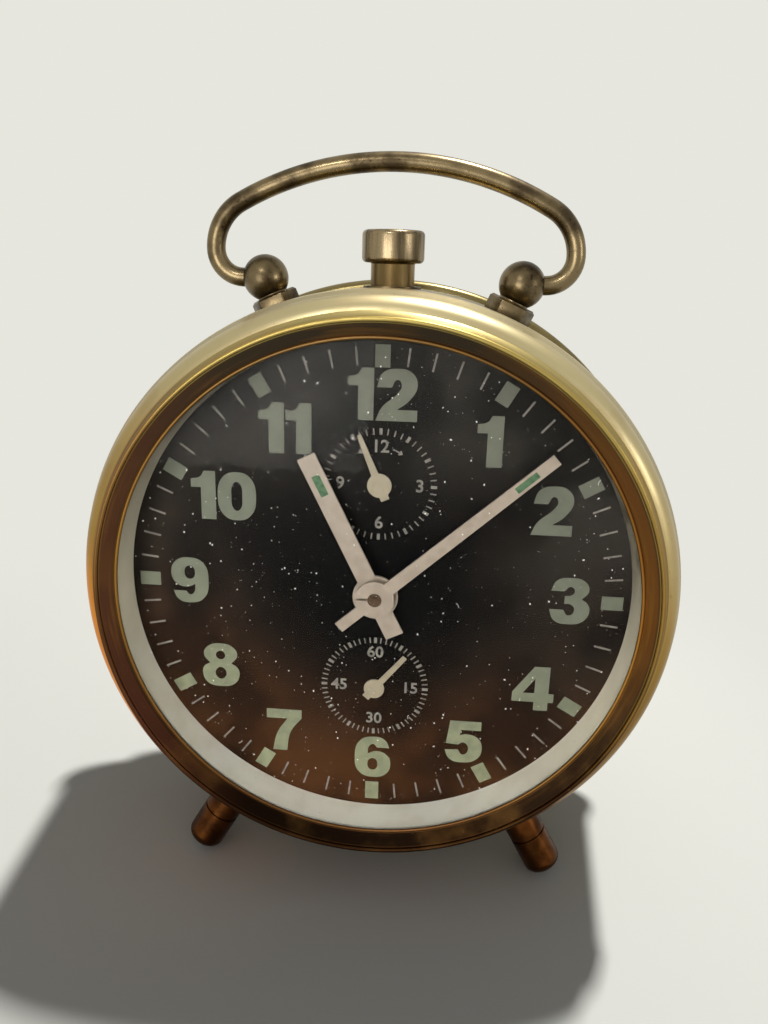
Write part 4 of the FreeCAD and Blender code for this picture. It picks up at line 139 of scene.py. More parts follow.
class Wiring:
    """A node tree under construction."""

    def __init__(self, tree: bpy.types.NodeTree) -> None:
        """Empty the tree and keep it."""
        self.tree = tree
        tree.nodes.clear()

    def fill(self, socket: bpy.types.NodeSocket, value: object) -> None:
        """Link an input to a Signal, or set it to a plain value, or leave it for None.

        Args:
            socket: The input.
            value: What it gets.
        """
        if isinstance(value, Signal):
            self.tree.links.new(value.socket, socket)
        elif value is not None:
            socket.default_value = value

    def node(self, kind: str, settings: dict[str, object], *values: object, out: int | str = 0) -> Signal:
        """Add a node, set it up and feed its inputs in order.

        Args:
            kind: Blender's name of the node type.
            settings: Properties that are set before the inputs.
            values: One value, Signal or None for each input.
            out: Number or name of the output that is wanted.

        Returns:
            That output.
        """
        made = self.tree.nodes.new(kind)
        for key, setting in settings.items():
            setattr(made, key, setting)
        for socket, value in zip(made.inputs, values):
            self.fill(socket, value)
        return Signal(self, made.outputs[out])

    def end(self, kind: str, result: Signal) -> None:
        """Add the tree's output node and feed it."""
        self.fill(self.tree.nodes.new(kind).inputs[0], result)

    def blend(self, factor: Signal, first: object, second: object) -> Signal:
        """Mix of two colours, which are the Mix node's seventh and eighth inputs."""
        return self.node(
            "ShaderNodeMix", {"data_type": "RGBA"}, factor, *[None] * 5, first, second, out=2)

    def mixed(self, factor: Signal, first: Signal, second: Signal) -> Signal:
        """Mix of two shaders."""
        return self.node("ShaderNodeMixShader", {}, factor, first, second)

    def ray(self, output: str) -> Signal:
        """One output of the Light Path node."""
        return self.node("ShaderNodeLightPath", {}, out=output)

    def seen_ray(self) -> Signal:
        """Tell the rays that see the surroundings as the camera does.

        Returns:
            1 for rays from the camera, from gloss and through glass that have met no matte surface.
        """
        seen = self.ray("Is Camera Ray").maths("MAXIMUM", self.ray("Is Glossy Ray"))
        seen = seen.maths("MAXIMUM", self.ray("Is Transmission Ray"))
        return seen * self.ray("Diffuse Depth").maths("LESS_THAN", 0.5)


class Surface(Wiring):
    """A material under construction: one Principled shader and the nodes behind it."""

    # Reach, fades and random drift of the painted light and shade by height.
    edge: float = 56.0
    upper_fade: Flat = (-4.0, 44.0)
    lower_fade: Flat = (2.0, -42.0)
    drift: float = 30.0

    def __init__(self, name: str) -> None:
        """Start a material with the clock's own coordinates in millimetres.

        Args:
            name: Name of the material.
        """
        self.material = bpy.data.materials.new(name)
        self.material.use_nodes = True
        super().__init__(self.material.node_tree)
        self.output = self.tree.nodes.new("ShaderNodeOutputMaterial")
        self.shader = self.tree.nodes.new("ShaderNodeBsdfPrincipled")
        self.tree.links.new(self.shader.outputs[0], self.output.inputs[0])
        self.place = self.clock_place()

    def clock_place(self) -> Signal:
        """Object coordinates turned into the clock's axes, in millimetres.

        Returns:
            The coordinates.
        """
        inverse = DialAxes.current.matrix.inverted()
        turn = inverse.to_3x3().normalized().to_euler()
        raw = self.node("ShaderNodeTexCoord", {}, out="Object")
        return self.node(
            "ShaderNodeMapping", {"vector_type": "POINT"}, raw, inverse.translation, turn, (1 / MM,) * 3)

    def noise(self, scale: float, detail: float = 4.0, place: Signal | None = None) -> Signal:
        """Cloudy noise from 0 to 1.

        Args:
            scale: Clouds per millimetre.
            detail: Number of finer layers.
            place: Coordinates, the clock's own if left out.

        Returns:
            The noise.
        """
        return self.node("ShaderNodeTexNoise", {}, place or self.place, None, scale, detail)

    def stretched(self, along: Place) -> Signal:
        """The clock's coordinates, each axis multiplied by its own factor."""
        return self.node("ShaderNodeVectorMath", {"operation": "MULTIPLY"}, self.place, along)

    def axis_parts(self) -> tuple[Signal, Signal]:
        """Radius and depth of a point of the surface.

        Returns:
            Distance from the dial's axis, and depth behind the dial, in millimetres.
        """
        flat = self.stretched((1.0, 0.0, 1.0))
        radius = self.node("ShaderNodeVectorMath", {"operation": "LENGTH"}, flat, out=1)
        return radius, self.node("ShaderNodeSeparateXYZ", {}, self.place, out=1)

    def rings(self, scale: float) -> Signal:
        """Noise that changes with radius and depth only, like turning marks."""
        return self.noise(scale, 3.0, self.node("ShaderNodeCombineXYZ", {}, *self.axis_parts(), 0.0))

    def ring_place(self, turns: float, across: float) -> Signal:
        """Coordinates that run round the dial's axis, for painted reflections that follow a ring.

        Args:
            turns: How fast they change with the direction from the axis.
            across: How fast they change with the radius, per millimetre.

        Returns:
            The coordinates.
        """
        heading = self.node(
            "ShaderNodeVectorMath", {"operation": "NORMALIZE"}, self.stretched((1.0, 0.0, 1.0)))
        right = self.node("ShaderNodeSeparateXYZ", {}, heading)
        up = self.node("ShaderNodeSeparateXYZ", {}, heading, out=2)
        radius, _ = self.axis_parts()
        return self.node("ShaderNodeCombineXYZ", {}, right * turns, radius * across, up * turns)

    def side(self) -> Signal:
        """Millimetres to the right of the dial's axis."""
        return self.node("ShaderNodeSeparateXYZ", {}, self.place)

    def height(self) -> Signal:
        """Millimetres above the dial's axis."""
        return self.node("ShaderNodeSeparateXYZ", {}, self.place, out=2)

    def aged(self, tones: "Tones", left: float = 10.0, right: float = -10.0) -> Signal:
        """Colour with painted light and shade, which shifts between its middle, upper and lower tone with
        the height on the clock.

        Args:
            tones: The three tones.
            left: How many millimetres lower the tones lie at the clock's left edge.
            right: The same at its right edge.

        Returns:
            The colour.
        """
        side = self.side()
        dropped = self.height() - side.between(0.0, -self.edge) * left
        dropped = dropped - side.between(0.0, self.edge) * right
        shifted = dropped + (self.noise(0.05) - 0.5) * self.drift
        upper = self.blend(shifted.between(*self.upper_fade), linear(tones.middle), linear(tones.upper))
        return self.blend(shifted.between(*self.lower_fade), upper, linear(tones.lower))

    def feed(self, name: str, value: object) -> None:
        """Set or link one input of the Principled shader."""
        self.fill(self.shader.inputs[name], value)

    def bump(self, height: Signal, distance: float, strength: float) -> None:
        """Raise the surface by a height signal.

        Args:
            height: The signal, from 0 to 1.
            distance: Its full rise in millimetres.
            strength: Share of it that shows.
        """
        made = self.tree.nodes.new("ShaderNodeBump")
        for name, value in (("Strength", strength), ("Distance", distance * MM), ("Height", height)):
            self.fill(made.inputs[name], value)
        self.tree.links.new(made.outputs[0], self.shader.inputs["Normal"])


@dataclass(frozen=True)
class DialAxes:
    """The clock's own axes: X right, Y into the case from the dial's face, Z up, in millimetres."""

    matrix: Matrix
    current = None

    @classmethod
    def from_frame(cls, frame: dict) -> "DialAxes":
        """Read the dial's face and the hands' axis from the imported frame.


        Returns:
            The axes, also kept as DialAxes.current.
        """
        joint = next(j for j in frame["joints"] if j["name"] == "minute_hand_turn")
        back = Vector(joint["axis"]).normalized()
        right = Vector((1, 0, 0))
        up = right.cross(back)
        face = min(back.dot(v.co) for v in frame["nodes"]["dial"].data.vertices)
        post = Vector(joint["pos_m"])
        origin = post + back * (face - back.dot(post))
        turn = Matrix((right, back, up)).transposed().to_4x4()
        cls.current = cls(Matrix.Translation(origin) @ turn @ Matrix.Scale(MM, 4))
        return cls.current


@dataclass(frozen=True)
class Tones:
    """Colours of one surface near the middle, the top and the bottom of the clock; their differences are
    painted light and shade.
    """

    middle: Colour
    upper: Colour
    lower: Colour


class Grain(Enum):
    """Direction of the fine marks on a metal."""

    CAST = "cast"
    TURNED = "turned"
    DRAWN = "drawn"


@dataclass(frozen=True)
class MetalFinish:
    """A metal with tarnish clouds, fine marks and uneven gloss."""

    name: str
    bright: Colour
    tarnish: Colour
    gloss: float
    spread: float = 0.12
    amount: float = 0.5
    clouds: float = 0.12
    grain: Grain = Grain.CAST

    def build(self) -> bpy.types.Material:
        """Make the material.

        Returns:
            The material.
        """
        surface = Surface(self.name)
        along = surface.stretched((1.0, 1.0, 0.06)) if self.grain is Grain.DRAWN else None
        cloud = surface.noise(self.clouds, 4.0, along).between(0.40, 0.68)
        spots = surface.noise(self.clouds * 9, 6.0).between(0.56, 0.74)
        worn = cloud * self.amount + spots * (self.amount * 0.35)
        marks = self.marks(surface)
        surface.feed("Base Color", surface.blend(worn, linear(self.bright), linear(self.tarnish)))
        surface.feed("Metallic", 1.0)
        surface.feed("Roughness", worn * self.spread + marks * self.spread + self.gloss)
        surface.bump(marks, 0.012, 0.5)
        return surface.material

    def marks(self, surface: Surface) -> Signal:
        """Fine marks of the metal's working.

        Args:
            surface: Material that they are for.

        Returns:
            Their height, from 0 to 1.
        """
        if self.grain is Grain.TURNED:
            return surface.rings(5.0)
        if self.grain is Grain.DRAWN:
            return surface.noise(1.0, 3.0, surface.stretched((9.0, 9.0, 0.5)))
        return surface.noise(3.0, 6.0)


@dataclass(frozen=True)
class BezelFinish:
    """Drawn brass whose bands differ in tone from the glass outwards, with painted reflection, highlight and
    shade.
    """

    name: str = "bezel_brass"
    bead_edge: float = 48.35
    slope_edge: float = 50.45
    crest_edge: float = 51.55
    cove_edge: float = 52.35

    def build(self) -> bpy.types.Material:
        """Make the material.

        Returns:
            The material.
        """
        surface = Surface(self.name)
        radius, _ = surface.axis_parts()
        # Bead tones: lighter at the sides and darker at the top and bottom, as painted reflection.
        colour = surface.aged(Tones((146, 106, 50), (108, 82, 48), (92, 62, 34)))
        # Tones of each band outside its inner edge; the dark slope and every band's upper and lower tones
        # are painted reflection, highlight and shade.
        for edge, left, right, tones in (
            (self.bead_edge, 10.0, -10.0, Tones((66, 48, 32), (64, 54, 42), (22, 13, 7))),
            (self.slope_edge, 24.0, 6.0, Tones((140, 110, 56), (166, 146, 84), (38, 22, 10))),
            (self.crest_edge, 26.0, 8.0, Tones((146, 118, 62), (176, 160, 106), (60, 34, 13))),
            (self.cove_edge, 16.0, -10.0, Tones((166, 134, 68), (188, 174, 134), (148, 86, 26))),
        ):
            band = surface.aged(tones, left, right)
            colour = surface.blend(radius.between(edge - 0.1, edge + 0.1), colour, band)
        side = surface.side()
        height = surface.height()
        inner = 1 - radius.between(self.slope_edge - 0.4, self.slope_edge)
        ridge = radius.between(48.3, 48.8) * (1 - radius.between(52.2, 52.8))
        outer = radius.between(self.cove_edge, self.cove_edge + 0.5)
        # Noise that runs round the ring, for painted reflections low on the bezel.
        painted_reflection_streaks = surface.noise(1.0, 3.0, surface.ring_place(2.6, 0.9)).between(0.50, 0.68)
        cloud = surface.noise(0.10).between(0.45, 0.72)
        specks = surface.noise(1.4, 6.0).between(0.66, 0.76)
        # Painted reflections by side and height: orange on the right slope, rose on the left ridge, bright
        # orange on the lower-left outer band, darker olive on the lower-right outer band and streaked
        # reflection low down; the clouds and specks of the last entry are tarnish.
        for mask, tone in (
            (side.between(14.0, 46.0) * height.between(-26.0, 6.0) * inner * 0.35, (156, 94, 24)),
            (side.between(-22.0, -46.0) * ridge * 0.4, (104, 60, 44)),
            (side.between(-8.0, -34.0) * height.between(14.0, -10.0) * outer * 0.85, (250, 152, 16)),
            (side.between(14.0, 44.0) * height.between(4.0, -22.0) * outer * 0.6, (110, 86, 30)),
            (painted_reflection_streaks * height.between(-44.0, -16.0) * 0.18, (158, 108, 46)),
            (cloud * 0.22 + specks * 0.35, (112, 78, 38)),
        ):
            colour = surface.blend(mask, colour, linear(tone))
        slope = radius.between(48.2, 48.5) * (1 - radius.between(50.3, 50.6))
        marks = surface.rings(4.0)
        surface.feed("Base Color", colour)
        surface.feed("Metallic", 1.0)
        surface.feed("Roughness", 0.30 - slope * 0.08 + cloud * 0.08 + marks * 0.08)
        surface.bump(marks, 0.008, 0.4)
        return surface.material


@dataclass(frozen=True)
class EnamelFinish:
    """Paint or enamel with faint mottling and dust, and with painted light and shade where its colour is
    given by height.
    """

    name: str
    colour: Colour | Tones
    shade: Colour
    gloss: float
    clouds: float = 0.2
    amount: float = 0.5
    coat: float = 0.0
    bump: float = 0.004
    left: float = 10.0
    right: float = -10.0

    def build(self) -> bpy.types.Material:
        """Make the material.

        Returns:
            The material.
        """
        surface = Surface(self.name)
        cloud = surface.noise(self.clouds).between(0.38, 0.68)
        fine = surface.noise(self.clouds * 14, 6.0)
        mask = cloud * self.amount + fine.between(0.55, 0.8) * (self.amount * 0.4)
        # Colour given by height carries painted light and shade.
        if isinstance(self.colour, Tones):
            colour = surface.aged(self.colour, self.left, self.right)
        else:
            colour = linear(self.colour)
        surface.feed("Base Color", surface.blend(mask, colour, linear(self.shade)))
        surface.feed("Roughness", fine * 0.08 + mask * 0.06 + self.gloss)
        surface.feed("Coat Weight", self.coat)
        surface.bump(fine, self.bump, 0.6)
        return surface.material


@dataclass(frozen=True)
class DialFinish:
    """Black enamel under dust and painted reflection, greyer at the top and browner at the bottom, which
    thicken towards its edge.
    """

    name: str = "dial_black"
    black: Colour = (8, 7, 7)

    def build(self) -> bpy.types.Material:
        """Make the material.

        Returns:
            The material.
        """
        surface = Surface(self.name)
        radius, _ = surface.axis_parts()
        # Dust and painted reflection: grey sheen towards the top, brown reflection lower down.
        dust_and_reflection_film = surface.aged(Tones((46, 37, 30), (60, 56, 52), (80, 48, 25)))
        cloud = surface.noise(0.045, 3.0).between(0.40, 0.60)
        fine = surface.noise(2.4, 8.0)
        edge = radius.between(8.0, 44.0)
        # Share of dust and painted reflection over the black, larger towards the edge.
        dust_and_reflection_veil = edge * (cloud * 0.6 + 0.3) + fine.between(0.58, 0.8) * 0.06
        surface.feed("Base Color", surface.blend(dust_and_reflection_veil, linear(self.black), dust_and_reflection_film))
        surface.feed("Roughness", dust_and_reflection_veil * 0.2 + 0.3)
        surface.feed("Specular IOR Level", 0.03)
        surface.bump(fine, 0.002, 0.6)
        return surface.material


@dataclass(frozen=True)
class CrystalFinish:
    """Clear glass that lets the lamps through to the dial."""

    name: str = "crystal_glass"

    def build(self) -> bpy.types.Material:
        """Make the material.

        Returns:
            The material.
        """
        surface = Surface(self.name)
        surface.feed("Base Color", linear((250, 252, 250)))
        surface.feed("Transmission Weight", 1.0)
        surface.feed("Roughness", 0.02)
        surface.feed("IOR", 1.08)
        clear = surface.node("ShaderNodeBsdfTransparent", {})
        glass = Signal(surface, surface.shader.outputs[0])
        surface.fill(surface.output.inputs[0], surface.mixed(surface.ray("Is Shadow Ray"), glass, clear))
        return surface.material


class Finishes:
    """Every finish of the clock, made once and kept by name."""

    def __init__(self) -> None:
        """Make all materials."""
        made = [
            BezelFinish(),
            CrystalFinish(),
            MetalFinish("case_brass", (128, 114, 76), (68, 58, 36), 0.24, grain=Grain.TURNED),
            MetalFinish("handle_brass", (124, 108, 80), (50, 40, 28), 0.22, clouds=0.16, amount=0.85),
            # Cap: its dark drawn streaks are partly tarnish and partly painted reflection.
            MetalFinish(
                "button_brass", (150, 132, 102), (34, 28, 22), 0.20, clouds=0.5, amount=0.9,
                grain=Grain.DRAWN),
            # Stem: a lighter copy of the button's brass, as painted light for the bright surroundings it
            # reflects.
            MetalFinish("stem_brass", (146, 124, 84), (82, 66, 42), 0.26, clouds=0.5, grain=Grain.DRAWN),
            MetalFinish("foot_bronze", (84, 48, 20), (30, 16, 7), 0.25, clouds=0.25, amount=0.7),
            MetalFinish("cover_gilt", (150, 128, 78), (98, 78, 44), 0.36, amount=0.4, grain=Grain.TURNED),
            MetalFinish("plate_brass", (205, 170, 98), (140, 108, 52), 0.35, grain=Grain.DRAWN),
            MetalFinish("wheel_brass", (214, 178, 100), (150, 116, 56), 0.28, grain=Grain.TURNED),
            MetalFinish("key_brass", (168, 140, 82), (96, 76, 42), 0.30, clouds=0.3),
            MetalFinish("bright_steel", (186, 184, 178), (110, 106, 98), 0.28, clouds=0.4),
            MetalFinish("dark_steel", (96, 76, 62), (52, 38, 30), 0.18, clouds=0.6),
            MetalFinish("spring_steel", (92, 98, 116), (54, 50, 52), 0.30, clouds=0.3),
            # Light ring: the dark upper tone, reaching lower on the right, is painted shade from the bezel;
            # the bright lower tone is painted light.
            EnamelFinish(
                "ring_cream", Tones((240, 228, 202), (86, 76, 60), (254, 248, 232)), (224, 212, 184), 0.32,
                amount=0.3, coat=0.2, left=0.0, right=-24.0),
            DialFinish(),
            EnamelFinish("hand_white", (161, 144, 128), (140, 123, 107), 0.42, clouds=0.5),
            EnamelFinish("small_hand_white", (156, 142, 118), (130, 116, 92), 0.42, clouds=0.5),
            EnamelFinish("lume_green", (74, 106, 72), (46, 78, 48), 0.6, clouds=1.2, amount=0.8, bump=0.03),
            # Figures: the brighter, greener lower tone is painted light and the dimmer top is painted shade.
            EnamelFinish(
                "figure_green", Tones((108, 110, 93), (103, 102, 88), (139, 140, 108)), (90, 92, 75), 0.62,
                clouds=0.35, amount=0.4),
            EnamelFinish("print_grey", (138, 130, 120), (100, 94, 86), 0.6, clouds=0.6, amount=0.8),
            EnamelFinish("dust_white", (255, 252, 244), (206, 200, 190), 0.8, clouds=2.0, amount=0.6),
        ]
        self.by_name = {finish.name: finish.build() for finish in made}

    def __getitem__(self, name: str) -> bpy.types.Material:
        """The material with that name."""
        return self.by_name[name]


@dataclass
class Profile:
    """Outline of a turned piece as (radius, depth) points, drawn in millimetres."""

    points: list[Flat] = field(default_factory=list)

    def to(self, radius: float, depth: float) -> "Profile":
        """Add a straight stretch to a point."""
        self.points.append((radius, depth))
        return self

    def arc(self, via: Flat, end: Flat, steps: int = 8) -> "Profile":
        """Add a round stretch through one point to another.

        Args:
            via: A point on the stretch.
            end: Its last point.
            steps: Number of chords.

        Returns:
            The profile itself.
        """
        start = Vector(self.points[-1])
        chord_a = Vector(via) - start
        chord_b = Vector(end) - start
        cross = 2 * (chord_a.x * chord_b.y - chord_a.y * chord_b.x)
        aa = chord_a.length_squared
        bb = chord_b.length_squared
        centre = start + Vector((chord_b.y * aa - chord_a.y * bb, chord_a.x * bb - chord_b.x * aa)) / cross
        first = start - centre
        last = Vector(end) - centre
        sweep = math.atan2(last.y, last.x) - math.atan2(first.y, first.x)
        sweep = sweep % math.tau if cross > 0 else -(-sweep % math.tau)
        for k in range(1, steps + 1):
            spot = centre + Matrix.Rotation(sweep * k / steps, 2) @ first
            self.points.append((spot.x, spot.y))
        return self

    def mesh(self, steps: int, axis: Vector = INTO_CASE) -> BMesh:
        """Turn the outline about an axis through the origin.

        Args:
            steps: Number of steps in the full turn.
            axis: INTO_CASE for pieces in line with the dial, or UPRIGHT.

        Returns:
            The closed mesh with smooth faces and marked hard edges.
        """
        bm = bmesh.new()
        ring = [bm.verts.new(Vector((r, 0, 0)) + axis * d) for r, d in self.points]
        edges = [bm.edges.new((a, b)) for a, b in zip(ring, ring[1:])]
        if self.points[0][0] > 1e-6 or self.points[-1][0] > 1e-6:
            edges.append(bm.edges.new((ring[-1], ring[0])))
        bmesh.ops.spin(
            bm, geom=ring + edges, cent=(0, 0, 0), axis=axis, angle=math.tau, steps=steps,
            use_merge=True, use_duplicate=False)
        return tidy(bm)


def tidy(bm: BMesh) -> BMesh:
    """Merge doubles, point faces outwards, smooth them and mark edges over CRISP_ANGLE as hard.

    Args:
        bm: Mesh to finish.

    Returns:
        The same mesh.
    """
    bmesh.ops.remove_doubles(bm, verts=bm.verts, dist=1e-5)
    bmesh.ops.recalc_face_normals(bm, faces=bm.faces)
    for face in bm.faces:
        face.smooth = True
    for edge in bm.edges:
        edge.smooth = len(edge.link_faces) == 2 and edge.calc_face_angle(0.0) < CRISP_ANGLE
    return bm


def softened(bm: BMesh, width: float) -> BMesh:
    """Round every edge over SOFTENED_ANGLE a little.

    Args:
        bm: Mesh to soften.
        width: Width of the rounding in millimetres.

    Returns:
        The same mesh, finished again.
    """
    sharp = [e for e in bm.edges if len(e.link_faces) == 2 and e.calc_face_angle(0.0) > SOFTENED_ANGLE]
    bmesh.ops.bevel(
        bm, geom=sharp, offset=width, affect="EDGES", segments=2, profile=0.5, material=-1,
        clamp_overlap=True)
    return tidy(bm)


def moved(bm: BMesh, by: Vector | Place) -> BMesh:
    """The same mesh, moved."""
    bmesh.ops.translate(bm, verts=bm.verts, vec=by)
    return bm


def turned(bm: BMesh, degrees: float, axis: str, centre: Place = (0.0, 0.0, 0.0)) -> BMesh:
    """The same mesh, turned about the X, Y or Z axis through a centre."""
    bmesh.ops.rotate(bm, verts=bm.verts, cent=centre, matrix=Matrix.Rotation(math.radians(degrees), 3, axis))
    return bm


def joined(parts: list[BMesh]) -> BMesh:
    """One mesh of several.

    Args:
        parts: The meshes, which are freed.

    Returns:
        The whole.
    """
    whole = bmesh.new()
    for part in parts:
        scratch = bpy.data.meshes.new("scratch")
        part.to_mesh(scratch)
        part.free()
        whole.from_mesh(scratch)
        bpy.data.meshes.remove(scratch)
    return whole


def block(width: float, depth: float, height: float, matrix: Matrix) -> BMesh:
    """Small block.

    Args:
        width: Its size along X.
        depth: Its size along Y, which ends at 0.
        height: Its size along Z.
        matrix: Where it goes.

    Returns:
        The mesh.
    """
    bm = bmesh.new()
    shape = Matrix.Translation((0, -depth / 2, 0)) @ Matrix.Diagonal((width, depth, height, 1.0))
    bmesh.ops.create_cube(bm, size=1.0, matrix=matrix @ shape)
    return bm


def around(angle: float, radius: float, centre: Flat = (0.0, 0.0)) -> Matrix:
    """Place on a ring in the dial's plane, turned to point outwards.

    Args:
        angle: Clockwise angle from twelve, in degrees.
        radius: Distance from the ring's centre.
        centre: The ring's centre (x, z).

    Returns:
        Matrix that puts a shape built at the origin there.
    """
    move = Matrix.Translation((centre[0], 0, centre[1]))
    return move @ Matrix.Rotation(math.radians(angle), 4, "Y") @ Matrix.Translation((0, 0, radius))


def in_scene(name: str, data: bpy.types.ID) -> bpy.types.Object:
    """Make an object of some data and link it to the scene.

    Args:
        name: Name of the object.
        data: Its mesh, curve, camera or lamp.

    Returns:
        The object.
    """
    made = bpy.data.objects.new(name, data)
    bpy.context.scene.collection.objects.link(made)
    return made


def curve_mesh(curve: bpy.types.Curve) -> BMesh:
    """Mesh of a curve or text.

    Args:
        curve: The curve, which is removed.

    Returns:
        The mesh where the curve is.
    """
    carrier = in_scene(curve.name, curve)
    bpy.context.view_layer.update()
    mesh = bpy.data.meshes.new_from_object(carrier.evaluated_get(bpy.context.evaluated_depsgraph_get()))
    bpy.data.objects.remove(carrier)
    bpy.data.curves.remove(curve)
    bm = bmesh.new()
    bm.from_mesh(mesh)
    bpy.data.meshes.remove(mesh)
    return bm


def flat_mesh(curve: bpy.types.Curve, thickness: float) -> BMesh:
    """Mesh of a flat curve or text, laid on the dial.

    Args:
        curve: The curve, which is removed.
        thickness: Its thickness in millimetres.

    Returns:
        The mesh with its rear face at depth 0 and its front towards the viewer.
    """
    curve.extrude = thickness / 2
    return tidy(moved(turned(curve_mesh(curve), 90, "X"), (0, -thickness / 2, 0)))


def flat_outline(name: str, outlines: list[list[Place]], thickness: float) -> BMesh:
    """Thin solid inside closed outlines, in the plane of the dial.

    Args:
        name: Name of the working curve.
        outlines: Points (x, z, smooth) in millimetres; an outline inside another is a hole.
        thickness: Thickness in millimetres.

    Returns:
        The mesh with its rear face at depth 0.
    """
    curve = bpy.data.curves.new(name, "CURVE")
    curve.dimensions = "2D"
    curve.fill_mode = "BOTH"
    curve.resolution_u = 6
    for line in outlines:
        spline = curve.splines.new("BEZIER")
        spline.bezier_points.add(len(line) - 1)
        spline.use_cyclic_u = True
        for point, (x, z, smooth) in zip(spline.bezier_points, line):
            point.co = (x, z, 0)
            kind = "AUTO" if smooth else "VECTOR"
            point.handle_left_type = kind
            point.handle_right_type = kind
    return flat_mesh(curve, thickness)


class Workshop:
    """Places finished meshes in the row's frame and dresses them."""

    def __init__(self, axes: DialAxes, finishes: Finishes) -> None:
        """Keep the clock's axes and finishes."""
        self.axes = axes
        self.finishes = finishes

    def place(
        self, bm: BMesh, name: str, body: str, finish: str, replaces: tuple[str, ...] = (), slot: str = "",
    ) -> None:
        """Make an object of a mesh in the clock's axes.

        Args:
            bm: Mesh in the clock's axes, in millimetres, which is freed.
            name: Name of the piece.
            body: Body that it rides on.
            finish: Name of its material.
            replaces: CAD nodes that it stands for.
            slot: Not used.
        """
        bm.transform(self.axes.matrix)
        mesh = bpy.data.meshes.new(name)
        bm.to_mesh(mesh)
        bm.free()
        mesh.materials.append(self.finishes[finish])
        piece = in_scene(name, mesh)
        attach(piece, body)
        if replaces:
            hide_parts(*replaces)
        log.info("%s on %s, %d faces", name, body, len(mesh.polygons))


@dataclass
class Case:
    """Brass drum with its rolled rear rim."""

    radius: float = 55.5
    wall: float = 0.8
    front: float = 0.5
    rear: float = 29.6
    rim_width: float = 3.0
    rim_height: float = 1.4
    neck: float = 54.1
    neck_front: float = -4.0
    opening: float = 45.2
    ledge: float = 28.0
    ledge_width: float = 3.1
    steps: int = 256

    def build(self, shop: Workshop) -> None:
        """Make the drum and place it.

        Args:
            shop: Where it is placed.
        """
        inner = self.radius - self.wall
        neck_inner = self.neck - self.wall
        seat = inner - self.ledge_width
        line = Profile().to(self.opening, self.front).to(neck_inner, self.front)
        line.to(neck_inner, self.neck_front).to(self.neck, self.neck_front).to(self.neck, self.front)
        line.to(self.radius - 0.5, self.front)
        line.arc((self.radius - 0.15, self.front + 0.15), (self.radius, self.front + 0.5), 4)
        line.to(self.radius, self.rear - self.rim_width)
        middle = self.rear - self.rim_width / 2
        line.arc((self.radius + self.rim_height, middle), (self.radius, self.rear), 14)
        line.to(inner, self.rear).to(inner, self.ledge).to(seat, self.ledge)
        line.to(seat, self.ledge - self.wall).to(inner, self.ledge - self.wall)
        line.to(inner, self.front + self.wall).to(self.opening, self.front + self.wall)
        shop.place(line.mesh(self.steps), "case_shell", "case", "case_brass", ("case_drum",))


@dataclass
class Bezel:
    """Brass bezel ring, glass and light ring."""

    widest: float = 55.0
    cove_outer: float = 52.3
    crest_outer: float = 51.5
    slope_outer: float = 50.6
    bead_outer: float = 48.3
    view_radius: float = 47.6
    lip: float = -7.9
    crest: float = -9.6
    cove: float = -7.6
    shoulder: float = -4.0
    skirt_radius: float = 54.15
    glass_rear: float = -6.5
    glass_radius: float = 49.2
    ring_sheet: float = 0.55
    ring_foot: float = 0.6
    ring_outer: float = 53.0
    steps: int = 288

    def profile(self) -> Profile:
        """Outline of the bezel: bead, slope, crest, cove, outer band, skirt and its inner side.

        Returns:
            The outline.
        """
        line = Profile().to(self.view_radius, self.lip)
        bead = (self.view_radius + self.bead_outer) / 2
        line.arc((bead, self.lip - 0.4), (self.bead_outer, self.lip - 0.15))
        line.to(self.slope_outer, self.crest)
        middle = (self.slope_outer + self.crest_outer) / 2
        line.arc((middle, self.crest - 0.6), (self.crest_outer, self.crest))
        line.arc((self.crest_outer + 0.27, self.crest + 1.0), (self.cove_outer, self.cove))
        band = (self.cove_outer + self.widest) / 2 + 0.55
        line.arc((band, self.cove + 1.35), (self.widest, self.shoulder), 14)
        line.arc((self.widest - 0.03, 0.2), (self.widest - 0.2, 0.38), 4)
        line.to(self.skirt_radius, 0.4).to(self.skirt_radius, self.shoulder - 0.2)
        line.to(53.65, -5.15).to(51.65, -6.95).to(51.05, -8.5).to(49.5, self.lip)
        return line

    def build(self, shop: Workshop) -> None:
        """Make the three rings and place them.

        Args:
            shop: Where they are placed.
        """
        shop.place(self.profile().mesh(self.steps), "bezel_ring", "case", "bezel_brass", ("bezel",))
        wide = self.glass_radius
        rear = self.glass_rear
        glass = Profile().to(0.0, rear).to(wide, rear).to(wide, self.lip + 0.3)
        glass.to(wide - 0.3, self.lip).to(0.0, self.lip)
        shop.place(
            glass.mesh(self.steps), "dial_crystal", "case", "crystal_glass", ("glass",), slot="crystal")
        narrow = self.view_radius
        sheet = self.ring_sheet
        ring = Profile().to(narrow, 0.0).to(narrow + 0.6, rear).to(wide, rear).to(wide, rear + sheet)
        ring.to(narrow + 0.6 + sheet, rear + sheet).to(narrow + sheet, -self.ring_foot)
        ring.to(self.ring_outer, -self.ring_foot).to(self.ring_outer, 0.0)
        shop.place(ring.mesh(self.steps), "light_ring_enamel", "case", "ring_cream", ("light_ring",))


